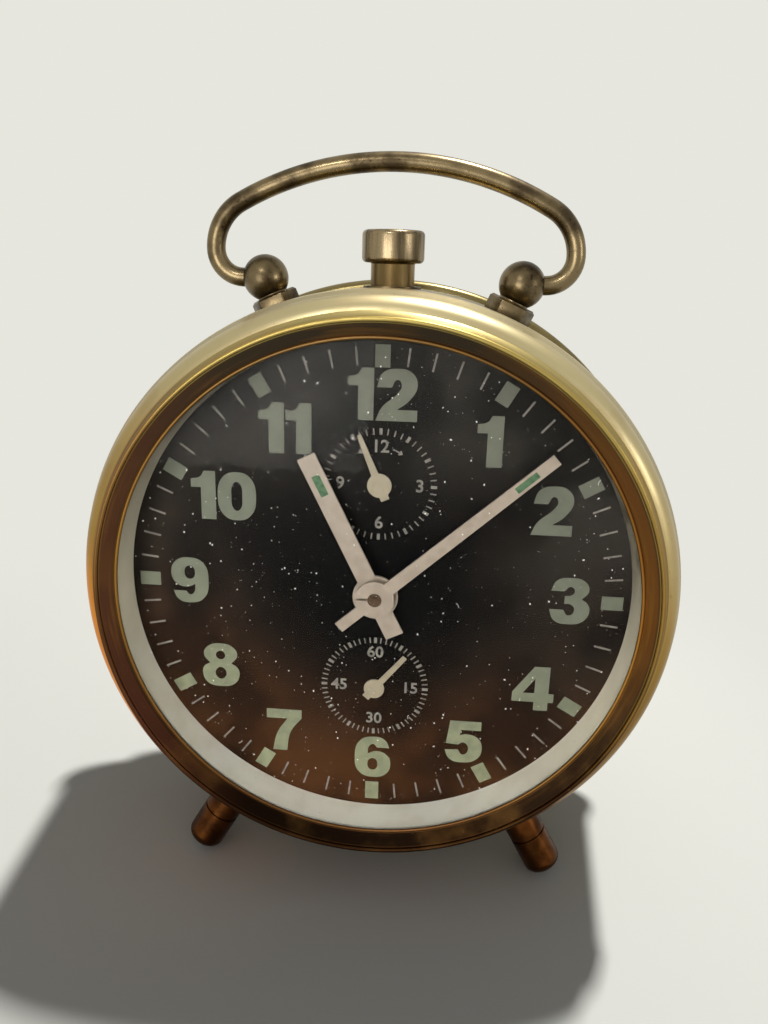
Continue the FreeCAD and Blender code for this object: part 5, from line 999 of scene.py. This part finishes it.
GLYPHS = {
    "0": [[(0.39, 1.0, 1), (0.66, 0.9, 1), (0.78, 0.5, 1), (0.66, 0.1, 1), (0.39, 0.0, 1), (0.12, 0.1, 1),
           (0.0, 0.5, 1), (0.12, 0.9, 1)],
          [(0.39, 0.8, 1), (0.47, 0.74, 1), (0.5, 0.5, 1), (0.47, 0.26, 1), (0.39, 0.2, 1),
           (0.31, 0.26, 1), (0.28, 0.5, 1), (0.31, 0.74, 1)]],
    "1": [[(0.2, 0.0, 0), (0.5, 0.0, 0), (0.5, 1.0, 0), (0.27, 1.0, 0), (0.19, 0.88, 1), (0.0, 0.83, 0),
           (0.0, 0.66, 0), (0.2, 0.66, 0)]],
    "2": [[(0.0, 0.0, 0), (0.8, 0.0, 0), (0.8, 0.22, 0), (0.41, 0.22, 0), (0.64, 0.4, 1), (0.79, 0.7, 1),
           (0.68, 0.93, 1), (0.41, 1.0, 1), (0.12, 0.91, 1), (0.02, 0.64, 0), (0.3, 0.64, 0),
           (0.41, 0.79, 1), (0.49, 0.69, 1), (0.42, 0.54, 1), (0.12, 0.26, 1)]],
    "3": [[(0.01, 0.71, 0), (0.11, 0.93, 1), (0.39, 1.0, 1), (0.67, 0.93, 1), (0.76, 0.74, 1),
           (0.63, 0.55, 0), (0.76, 0.45, 1), (0.8, 0.28, 1), (0.68, 0.07, 1), (0.39, 0.0, 1),
           (0.11, 0.07, 1), (0.0, 0.31, 0), (0.28, 0.31, 0), (0.39, 0.19, 1), (0.5, 0.31, 1),
           (0.42, 0.43, 1), (0.29, 0.44, 0), (0.29, 0.61, 0), (0.42, 0.63, 1), (0.48, 0.72, 1),
           (0.39, 0.81, 1), (0.28, 0.71, 0)]],
    "4": [[(0.46, 0.0, 0), (0.75, 0.0, 0), (0.75, 0.19, 0), (0.86, 0.19, 0), (0.86, 0.39, 0),
           (0.75, 0.39, 0), (0.75, 1.0, 0), (0.43, 1.0, 0), (0.0, 0.4, 0), (0.0, 0.19, 0),
           (0.46, 0.19, 0)],
          [(0.22, 0.39, 0), (0.46, 0.73, 0), (0.46, 0.39, 0)]],
    "5": [[(0.09, 1.0, 0), (0.75, 1.0, 0), (0.75, 0.79, 0), (0.33, 0.79, 0), (0.31, 0.66, 0),
           (0.45, 0.69, 1), (0.7, 0.6, 1), (0.79, 0.34, 1), (0.68, 0.09, 1), (0.39, 0.0, 1),
           (0.11, 0.07, 1), (0.0, 0.29, 0), (0.28, 0.31, 0), (0.39, 0.19, 1), (0.5, 0.34, 1),
           (0.39, 0.49, 1), (0.28, 0.43, 0), (0.02, 0.45, 0)]],
    "6": [[(0.75, 0.74, 0), (0.65, 0.93, 1), (0.4, 1.0, 1), (0.11, 0.89, 1), (0.0, 0.49, 1),
           (0.1, 0.11, 1), (0.39, 0.0, 1), (0.68, 0.09, 1), (0.78, 0.32, 1), (0.7, 0.56, 1),
           (0.47, 0.65, 1), (0.28, 0.58, 0), (0.31, 0.76, 1), (0.4, 0.82, 1), (0.48, 0.74, 0)],
          [(0.39, 0.47, 1), (0.47, 0.43, 1), (0.5, 0.33, 1), (0.47, 0.22, 1), (0.39, 0.18, 1),
           (0.31, 0.22, 1), (0.28, 0.33, 1), (0.31, 0.43, 1)]],
    "7": [[(0.01, 1.0, 0), (0.77, 1.0, 0), (0.77, 0.8, 0), (0.53, 0.46, 1), (0.45, 0.0, 0),
           (0.14, 0.0, 0), (0.24, 0.43, 1), (0.46, 0.78, 0), (0.01, 0.78, 0)]],
    "8": [[(0.39, 1.0, 1), (0.65, 0.93, 1), (0.75, 0.74, 1), (0.62, 0.54, 0), (0.75, 0.45, 1),
           (0.79, 0.28, 1), (0.68, 0.07, 1), (0.39, 0.0, 1), (0.1, 0.07, 1), (0.0, 0.28, 1),
           (0.03, 0.45, 1), (0.16, 0.54, 0), (0.03, 0.74, 1), (0.13, 0.93, 1)],
          [(0.39, 0.83, 1), (0.46, 0.8, 1), (0.49, 0.73, 1), (0.46, 0.66, 1), (0.39, 0.63, 1),
           (0.32, 0.66, 1), (0.29, 0.73, 1), (0.32, 0.8, 1)],
          [(0.39, 0.45, 1), (0.47, 0.41, 1), (0.51, 0.31, 1), (0.47, 0.21, 1), (0.39, 0.17, 1),
           (0.31, 0.21, 1), (0.27, 0.31, 1), (0.31, 0.41, 1)]],
}
GLYPHS["9"] = [[(0.78 - x, 1.0 - y, kind) for x, y, kind in line] for line in GLYPHS["6"]]


@dataclass
class DialPrint:
    """Figures, marks and tracks printed on the dial."""

    figure_height: float = 9.35
    figure_radius: float = 36.4
    figure_gap: float = 0.04
    mark_radius: float = 44.2
    mark_width: float = 2.7
    mark_length: float = 4.0
    tick_width: float = 0.36
    tick_length: float = 3.3
    print_depth: float = 0.04
    alarm_centre: Flat = (0.0, 20.8)
    seconds_centre: Flat = (0.0, -20.4)
    small_radius: float = 10.55
    small_tick: float = 1.15
    small_tick_width: float = 0.24
    bold_tick_width: float = 0.55
    small_figure: float = 3.25
    small_weight: float = 0.06
    arrow_radius: float = 7.1
    arrow_start: float = 21.0
    arrow_end: float = 33.5
    arrow_line: float = 0.26
    arrow_dash: float = 0.62
    arrow_barb: float = 0.75
    arrow_spread: float = 38.0
    nudges: dict[int, Flat] = field(default_factory=lambda: {
        1: (33.4, 35.6), 2: (61.3, 36.2), 4: (121.0, 36.2), 8: (240.0, 35.6), 10: (300.6, 34.0),
        11: (330.2, 35.3), 12: (0.2, 37.4)})

    def figure(self, text: str) -> BMesh:
        """Bold upright figure centred on the origin.

        Args:
            text: Its digits.

        Returns:
            The mesh.
        """
        outlines = []
        advance = 0.0
        for sign in text:
            lines = GLYPHS[sign]
            outlines += [[(x + advance, z, s) for x, z, s in line] for line in lines]
            advance += max(x for line in lines for x, _, _ in line) + self.figure_gap
        half = (advance - self.figure_gap) / 2
        size = self.figure_height
        scaled = [[((x - half) * size, (z - 0.5) * size, s) for x, z, s in line] for line in outlines]
        return flat_outline("figure_" + text, scaled, self.print_depth)

    def small_text(self, text: str) -> BMesh:
        """Small plain figure of a sub-dial, centred on the origin.

        Args:
            text: Its digits.

        Returns:
            The mesh.
        """
        curve = bpy.data.curves.new("small_" + text, "FONT")
        curve.body = text
        curve.align_x = "CENTER"
        curve.align_y = "CENTER"
        curve.size = self.small_figure
        curve.offset = self.small_weight
        curve.resolution_u = 4
        return flat_mesh(curve, self.print_depth)

    def ring_ticks(self, centre: Flat, count: int, bold_every: int) -> list[BMesh]:
        """Ring of short ticks round a small dial.

        Args:
            centre: The small dial's centre (x, z).
            count: Number of ticks.
            bold_every: Which of them are bold.

        Returns:
            The ticks.
        """
        ticks = []
        for k in range(count):
            width = self.small_tick_width if k % bold_every else self.bold_tick_width
            spot = around(360 * k / count, self.small_radius - self.small_tick / 2, centre)
            ticks.append(block(width, self.print_depth, self.small_tick, spot))
        return ticks

    def arrow(self, side: int) -> list[BMesh]:
        """Short curved arrow beside the alarm dial's top figure.

        Args:
            side: -1 for the left one, 1 for the right one.

        Returns:
            Its dashes and its head.
        """
        parts = []
        for k in range(3):
            spot = around(side * (self.arrow_start + 4.0 * k), self.arrow_radius, self.alarm_centre)
            parts.append(block(self.arrow_dash, self.print_depth, self.arrow_line, spot))
        tip = around(side * self.arrow_end, self.arrow_radius, self.alarm_centre)
        for lean in (-self.arrow_spread, self.arrow_spread):
            head = tip @ Matrix.Rotation(math.radians(side * (90 + lean)), 4, "Y")
            head = head @ Matrix.Translation((0, 0, -0.3))
            parts.append(block(self.arrow_line, self.print_depth, self.arrow_barb, head))
        return parts

    def build(self, shop: Workshop) -> None:
        """Make all printing and place it on the dial.

        Args:
            shop: Where it is placed.
        """
        figures = []
        marks = []
        for hour in range(1, 13):
            angle, radius = self.nudges.get(hour, (30.0 * hour, self.figure_radius))
            figures.append(moved(self.figure(str(hour)), around(angle, radius).translation))
            spot = around(30 * hour, self.mark_radius)
            marks.append(block(self.mark_width, self.print_depth, self.mark_length, spot))
        ticks = []
        for minute in range(60):
            if minute % 5:
                spot = around(6 * minute, self.mark_radius + 0.1)
                ticks.append(block(self.tick_width, self.print_depth, self.tick_length, spot))
        small = self.ring_ticks(self.alarm_centre, 48, 4) + self.ring_ticks(self.seconds_centre, 60, 5)
        small += self.arrow(-1) + self.arrow(1)
        for centre, texts in (
            (self.alarm_centre, (("12", 7.15), ("3", 7.4), ("6", 7.3), ("9", 7.3))),
            (self.seconds_centre, (("60", 7.4), ("15", 7.0), ("30", 7.1), ("45", 7.0))),
        ):
            for k, (text, reach) in enumerate(texts):
                small.append(moved(self.small_text(text), around(90 * k, reach, centre).translation))
        for parts, name, finish, slot in (
            (figures, "hour_figures", "figure_green", "lume_green"),
            (marks, "hour_marks", "figure_green", "lume_green"),
            (ticks, "minute_ticks", "print_grey", "hand_white"),
            (small, "small_dial_print", "print_grey", "hand_white"),
        ):
            shop.place(joined(parts), name, "case", finish, slot=slot)


@dataclass
class Dust:
    """Specks and fibres that lie on the dial and on the glass."""

    specks: int = 480
    fibres: int = 3
    smallest: float = 0.04
    spread: float = 0.12
    flatness: float = 0.4
    most_turn: float = 6.28
    fibre_steps: int = 4
    fibre_step: float = 0.26
    fibre_size: Place = (0.30, 0.04, 0.05)
    fibre_lift: float = 0.02
    dial: float = -0.03
    glass: float = -7.93
    radius: float = 46.5
    seed: int = 11

    def spot(self, chance: random.Random, depth: float) -> Vector:
        """Random place on the dial or the glass.

        Args:
            chance: Source of the random draws.
            depth: Depth of the place.

        Returns:
            The place.
        """
        reach = self.radius * math.sqrt(chance.random())
        turn = chance.random() * math.tau
        return Vector((reach * math.cos(turn), depth, reach * math.sin(turn)))

    def speck(self, chance: random.Random, depth: float) -> BMesh:
        """One small uneven flake at a random place.

        Args:
            chance: Source of the random draws.
            depth: Depth at which it lies.

        Returns:
            The mesh.
        """
        bm = bmesh.new()
        size = self.smallest + self.spread * chance.random() ** 5
        spot = Matrix.Translation(self.spot(chance, depth))
        shape = Matrix.Diagonal((size * chance.uniform(0.7, 1.8), size * self.flatness, size, 1.0))
        spin = Matrix.Rotation(chance.random() * self.most_turn, 4, "Y")
        bmesh.ops.create_icosphere(bm, subdivisions=1, radius=1.0, matrix=spot @ spin @ shape)
        return bm

    def fibre(self, chance: random.Random, depth: float) -> BMesh:
        """One short bent hair at a random place.

        Args:
            chance: Source of the random draws.
            depth: Depth at which it lies.

        Returns:
            The mesh.
        """
        spot = self.spot(chance, depth)
        heading = chance.random() * math.tau
        bend = chance.uniform(-0.6, 0.6)
        parts = []
        for _ in range(self.fibre_steps):
            step = Vector((math.cos(heading), 0, math.sin(heading))) * self.fibre_step
            middle = Matrix.Translation(spot + step / 2) @ Matrix.Rotation(-heading, 4, "Y")
            parts.append(block(*self.fibre_size, middle))
            spot = spot + step
            heading += bend
        return joined(parts)

    def build(self, shop: Workshop) -> None:
        """Scatter the dust and place it.

        Args:
            shop: Where it is placed.
        """
        chance = random.Random(self.seed)
        for name, depth in (("dial_dust", self.dial), ("glass_dust", self.glass)):
            grains = [self.speck(chance, depth) for _ in range(self.specks)]
            grains += [self.fibre(chance, depth + self.fibre_lift) for _ in range(self.fibres)]
            shop.place(joined(grains), name, "case", "dust_white", slot="hand_white")


@dataclass
class Handle:
    """Folding wire handle, and the ball posts that carry it."""

    depth: float = 18.0
    wire: float = 1.8
    half_width: float = 34.35
    rise: float = 21.3
    crown: float = 60.6
    curl: float = 5.2
    pin_end: float = 24.6
    ball_x: float = 24.7
    ball_z: float = 56.6
    ball: float = 4.4
    neck: float = 2.9
    base_flats: float = 8.2
    base_height: float = 2.2
    base_rim: float = 0.55
    base_crown: float = 0.35
    sunk: float = 0.3
    case_radius: float = 55.5

    def bend(self, centre: Flat, radius: float, first: float, last: float, steps: int) -> list[Vector]:
        """Points of one round stretch of the wire, without its first point.

        Args:
            centre: Its centre (x, z).
            radius: Its radius.
            first: Angle from the right at which it starts.
            last: Angle at which it ends.
            steps: Number of chords.

        Returns:
            The points.
        """
        turns = [first + (last - first) * k / steps for k in range(1, steps + 1)]
        return [
            Vector((centre[0] + radius * math.cos(t), self.depth, centre[1] + radius * math.sin(t)))
            for t in turns
        ]

    def half_path(self) -> list[Vector]:
        """Centre line of the right half, from the pivot to the top.

        Returns:
            Its points.
        """
        half = self.half_width
        low = self.ball_z + self.curl
        crown_z = self.ball_z + self.rise - self.crown
        gap = low - crown_z
        side = (self.crown ** 2 - half ** 2 - gap ** 2) / (2 * (self.crown - half))
        meets = math.pi / 2 - math.atan2(half - side, gap)
        path = [Vector((x, self.depth, self.ball_z)) for x in (self.pin_end, half - self.curl)]
        path += self.bend((half - self.curl, low), self.curl, -math.pi / 2, 0.0, 12)
        path += self.bend((half - side, low), side, 0.0, meets, 16)
        return path + self.bend((0.0, crown_z), self.crown, meets, math.pi / 2, 24)

    def wire_mesh(self) -> BMesh:
        """Round wire along the whole path.

        Returns:
            The mesh.
        """
        right = self.half_path()
        path = [Vector((-spot.x, spot.y, spot.z)) for spot in right] + right[-2::-1]
        curve = bpy.data.curves.new("handle_path", "CURVE")
        curve.dimensions = "3D"
        curve.bevel_depth = self.wire
        curve.bevel_resolution = 10
        curve.use_fill_caps = True
        spline = curve.splines.new("POLY")
        spline.points.add(len(path) - 1)
        for point, spot in zip(spline.points, path):
            point.co = (*spot, 1.0)
        return tidy(curve_mesh(curve))

    def base_mesh(self) -> BMesh:
        """Six-sided base of one post with a chamfered top, upright on the case's radius.

        Returns:
            The mesh.
        """
        bm = bmesh.new()
        corner = self.base_flats / math.sqrt(3)
        height = self.base_height + self.sunk + 0.4
        middle = self.case_radius - 0.1 + (self.base_height - 0.1) / 2
        place = Matrix.Translation((0, 0, middle)) @ Matrix.Rotation(math.radians(30), 4, "Z")
        bmesh.ops.create_cone(
            bm, cap_ends=True, segments=6, radius1=corner, radius2=corner, depth=height, matrix=place)
        top = [f for f in bm.faces if f.normal.z > 0.9]
        bmesh.ops.inset_region(bm, faces=top, thickness=self.base_rim, depth=0.0)
        for vert in {vert for face in top for vert in face.verts}:
            vert.co.z += self.base_crown
        return softened(bm, 0.18)

    def post_mesh(self, side: int) -> BMesh:
        """Ball, neck and base of one post.

        Args:
            side: -1 for the left one, 1 for the right one.

        Returns:
            The mesh.
        """
        reach = math.hypot(self.ball_x, self.ball_z)
        base_top = self.case_radius + self.base_height
        neck_meets = math.sqrt(self.ball ** 2 - self.neck ** 2)
        line = Profile().to(0.0, base_top - self.sunk).to(self.neck + 0.6, base_top - self.sunk)
        line.arc((self.neck + 0.1, base_top + 0.35), (self.neck, reach - neck_meets), 6)
        line.arc((self.ball, reach), (0.0, reach + self.ball), 24)
        whole = moved(joined([line.mesh(64, UPRIGHT), self.base_mesh()]), (0, self.depth, 0))
        lean = side * math.degrees(math.atan2(self.ball_x, self.ball_z))
        return turned(whole, lean, "Y", (0, self.depth, 0))

    def build(self, shop: Workshop) -> None:
        """Make the handle and both posts.

        Args:
            shop: Where they are placed.
        """
        shop.place(self.wire_mesh(), "handle_wire", "handle", "handle_brass", ("handle",))
        for side, word in ((-1, "left"), (1, "right")):
            shop.place(
                self.post_mesh(side), f"ball_post_{word}", "case", "handle_brass", (f"handle_post_{word}",))


@dataclass
class StopButton:
    """Button on top of the case that silences the alarm."""

    depth: float = 18.0
    case_radius: float = 55.5
    shown: float = 4.45
    cap_radius: float = 5.95
    cap_height: float = 5.95
    cap_edge: float = 0.9
    cap_flat: float = 1.6
    cap_dish: float = 0.12
    stem_radius: float = 4.2
    stem_flare: float = 0.3
    inside: float = 5.5

    def build(self, shop: Workshop) -> None:
        """Make the turned cap and stem.

        Args:
            shop: Where they are placed.
        """
        low = self.case_radius + self.shown
        high = low + self.cap_height
        root = self.case_radius - self.inside
        edge = self.cap_edge
        lean = edge * (1 - math.sqrt(0.5))
        wide = self.cap_radius
        thin = self.stem_radius
        flare = thin + self.stem_flare
        stem = Profile().to(0.0, root).to(thin, root).to(thin, low - 0.25)
        stem.arc((thin + 0.1, low - 0.07), (flare, low), 3).to(flare, low + 0.3).to(0.0, low + 0.3)
        cap = Profile().to(0.0, low).to(wide - edge, low)
        cap.arc((wide - lean, low + lean), (wide, low + edge), 5)
        cap.to(wide, high - edge).arc((wide - lean, high - lean), (wide - edge, high), 5)
        cap.to(wide - self.cap_flat, high).to(0.0, high - self.cap_dish)
        for line, name, finish, replaced in (
            # The stem's lighter brass is painted light; the cap's dark drawn tarnish is partly painted
            # reflection.
            (stem, "button_stem", "stem_brass", ()),
            (cap, "button_cap", "button_brass", ("stop_button",)),
        ):
            bm = moved(line.mesh(96, UPRIGHT), (0, self.depth, 0))
            shop.place(bm, name, "stop_button", finish, replaced, slot="handle_brass")


@dataclass
class Feet:
    """Two round feet, spread sideways and tilted forwards."""

    depth: float = 5.8
    spread: float = 31.0
    tilt: float = 9.0
    radius: float = 3.85
    rounding: float = 2.2
    length: float = 17.0
    root: float = 0.9
    groove_at: float = 9.0
    groove_width: float = 0.7
    groove_depth: float = 0.25
    groove_slope: float = 0.1
    case_radius: float = 55.5

    def build(self, shop: Workshop) -> None:
        """Make both feet.

        Args:
            shop: Where they are placed.
        """
        wide = self.radius
        waist = wide - self.groove_depth
        corner = self.rounding * (1 - math.sqrt(0.5))
        near = self.groove_at - self.groove_width
        line = Profile().to(0.0, self.root).to(wide, self.root).to(wide, -near)
        line.to(waist, -near - self.groove_slope).to(waist, -self.groove_at + self.groove_slope)
        line.to(wide, -self.groove_at).to(wide, self.rounding - self.length)
        line.arc((wide - corner, corner - self.length), (wide - self.rounding, -self.length), 10)
        line.to(0.0, -self.length)
        for side, word in ((1, "left"), (-1, "right")):
            bm = moved(turned(line.mesh(56, UPRIGHT), -self.tilt, "X"), (0, self.depth, -self.case_radius))
            turned(bm, side * self.spread, "Y")
            shop.place(bm, f"foot_turned_{word}", "case", "foot_bronze", (f"foot_{word}",))


CAD_FINISHES = {
    "dial_black": ("dial",),
    "cover_gilt": ("back_cover",),
    "handle_brass": ("button_bush",),
    "plate_brass": ("front_plate", "back_plate"),
    "hand_white": ("hour_hand", "minute_hand"),
    "dark_steel": ("centre_arbor", "cannon_pinion"),
    "small_hand_white": ("alarm_hand", "seconds_hand"),
    "lume_green": ("hour_hand_lume", "minute_hand_lume"),
    "key_brass": ("time_key", "alarm_key", "time_set_knob", "alarm_set_knob"),
    "spring_steel": (
        "button_clip", "alarm_release_spring", "hairspring", "time_mainspring", "alarm_mainspring"),
    "wheel_brass": (
        "centre_wheel", "hour_wheel", "minute_wheel", "alarm_wheel", "third_wheel", "fourth_wheel",
        "escape_wheel", "balance_wheel", "great_wheel", "alarm_great_wheel", "alarm_escape_wheel"),
}


def dress_cad_nodes(frame: dict, finishes: Finishes) -> None:
    """Give every CAD node its finish, bright steel where no other is named.

    Args:
        finishes: The clock's materials.
    """
    chosen = {node: name for name, nodes in CAD_FINISHES.items() for node in nodes}
    for name, node in frame["nodes"].items():
        node.data.materials.clear()
        node.data.materials.append(finishes[chosen.get(name, "bright_steel")])


@dataclass(frozen=True)
class Photograph:
    """Viewpoint of the photograph in the clock's own axes, in millimetres and degrees."""

    place: Place = (11.7, -143.8, 58.6)
    turn: Place = (16.52, 2.2, -4.48)
    focal_pixels: float = 811.3
    height_pixels: int = 1024
    sensor: float = 36.0

    def build(self, axes: DialAxes) -> None:
        """Make the camera and set it as the scene's.

        Args:
            axes: The clock's axes in the row's frame.
        """
        data = bpy.data.cameras.new("photograph")
        data.sensor_width = self.sensor
        data.lens = self.focal_pixels * self.sensor / self.height_pixels
        data.clip_start = 0.01
        data.clip_end = 50
        vector = Vector([math.radians(v) for v in self.turn])
        turn = Matrix.Rotation(vector.length, 3, vector.normalized())
        seen = Matrix(((1, 0, 0), (0, 0, -1), (0, 1, 0))) @ turn
        local = Matrix((seen[0], -seen[1], -seen[2])).transposed()
        matrix = (axes.matrix.to_3x3().normalized() @ local).to_4x4()
        matrix.translation = axes.matrix @ Vector(self.place)
        camera = in_scene("photograph", data)
        camera.matrix_world = matrix
        bpy.context.scene.camera = camera


@dataclass(frozen=True)
class Lamp:
    """Square soft lamp: where it stands and its side in metres, and its power in watts."""

    name: str
    place: Place
    size: float
    power: float

    def build(self, aim: Place, spared: bpy.types.Collection | None) -> None:
        """Hang the lamp.

        Args:
            aim: Point that it faces, in metres.
            spared: Collection of what it leaves unlit, if any.
        """
        data = bpy.data.lights.new(self.name, "AREA")
        data.size = self.size
        data.energy = self.power
        lamp = in_scene(self.name, data)
        lamp.light_linking.receiver_collection = spared
        lamp.location = self.place
        lamp.rotation_euler = (Vector(aim) - Vector(self.place)).to_track_quat("-Z", "Y").to_euler()


@dataclass
class Studio:
    """Pale floor, soft lamps and a plain surrounding."""

    floor_size: float = 6.0
    fade_start: float = 0.10
    fade_end: float = 0.17
    fade_centre: Place = (-0.03, -0.03, 0.0)
    world_light: float = 0.18
    aim: Place = (0.0, 0.0, 0.06)
    key: Lamp = Lamp("key_lamp", (0.165, 0.34, 0.80), 0.045, 7.2)
    fills: tuple[Lamp, ...] = (
        Lamp("front_lamp", (-0.30, -0.90, 0.32), 0.45, 3.1),
        Lamp("side_lamp", (0.70, -0.30, 0.30), 0.2, 0.7),
        Lamp("window_lamp", (-0.14, -0.42, 0.62), 0.07, 0.9),
    )

    def world(self) -> None:
        """Plain surrounding, seen by the camera and in gloss and glass as the background."""
        world = bpy.data.worlds.new("studio")
        bpy.context.scene.world = world
        world.use_nodes = True
        wiring = Wiring(world.node_tree)
        plain = wiring.node("ShaderNodeBackground", {}, (1.0, 1.0, 1.0, 1.0), self.world_light)
        shown = wiring.node("ShaderNodeBackground", {}, linear(BACKGROUND), 1.0)
        wiring.end("ShaderNodeOutputWorld", wiring.mixed(wiring.seen_ray(), plain, shown))

    def floor(self) -> bpy.types.Collection:
        """Pale floor that keeps the shadow near the clock and fades into the background.

        Returns:
            Collection that keeps a lamp's light off the floor.
        """
        bm = bmesh.new()
        bmesh.ops.create_grid(bm, x_segments=4, y_segments=4, size=self.floor_size)
        mesh = bpy.data.meshes.new("floor")
        bm.to_mesh(mesh)
        bm.free()
        floor = in_scene("floor", mesh)
        material = bpy.data.materials.new("floor_pale")
        material.use_nodes = True
        wiring = Wiring(material.node_tree)
        place = wiring.node("ShaderNodeTexCoord", {}, out="Object")
        away = wiring.node(
            "ShaderNodeVectorMath", {"operation": "DISTANCE"}, place, self.fade_centre, out=1)
        matte = wiring.node("ShaderNodeBsdfDiffuse", {}, linear(BACKGROUND))
        glow = wiring.node("ShaderNodeEmission", {}, linear(BACKGROUND))
        fade = away.between(self.fade_start, self.fade_end) * wiring.seen_ray()
        wiring.end("ShaderNodeOutputMaterial", wiring.mixed(fade, matte, glow))
        mesh.materials.append(material)
        spared = bpy.data.collections.new("floor_unlit")
        spared.objects.link(floor)
        spared.collection_objects[0].light_linking.link_state = "EXCLUDE"
        return spared

    def build(self) -> None:
        """Make the surrounding, the floor and the lamps, of which only the key lamp lights the floor."""
        self.world()
        spared = self.floor()
        self.key.build(self.aim, None)
        for lamp in self.fills:
            lamp.build(self.aim, spared)
        bpy.context.scene.view_settings.view_transform = "Standard"


def main() -> None:
    """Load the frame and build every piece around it."""
    logging.basicConfig(level=logging.INFO, format="%(name)s: %(message)s")
    for name in ("Cube", "Light", "Camera"):
        if name in bpy.data.objects:
            bpy.data.objects.remove(bpy.data.objects[name])
    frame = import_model()
    axes = DialAxes.from_frame(frame)
    finishes = Finishes()
    dress_cad_nodes(frame, finishes)
    shop = Workshop(axes, finishes)
    for assembly in (Case(), Bezel(), DialPrint(), Dust(), Handle(), StopButton(), Feet()):
        assembly.build(shop)
    Studio().build()
    Photograph().build(axes)
    bpy.context.view_layer.update()


if __name__ == "__main__":
    main()
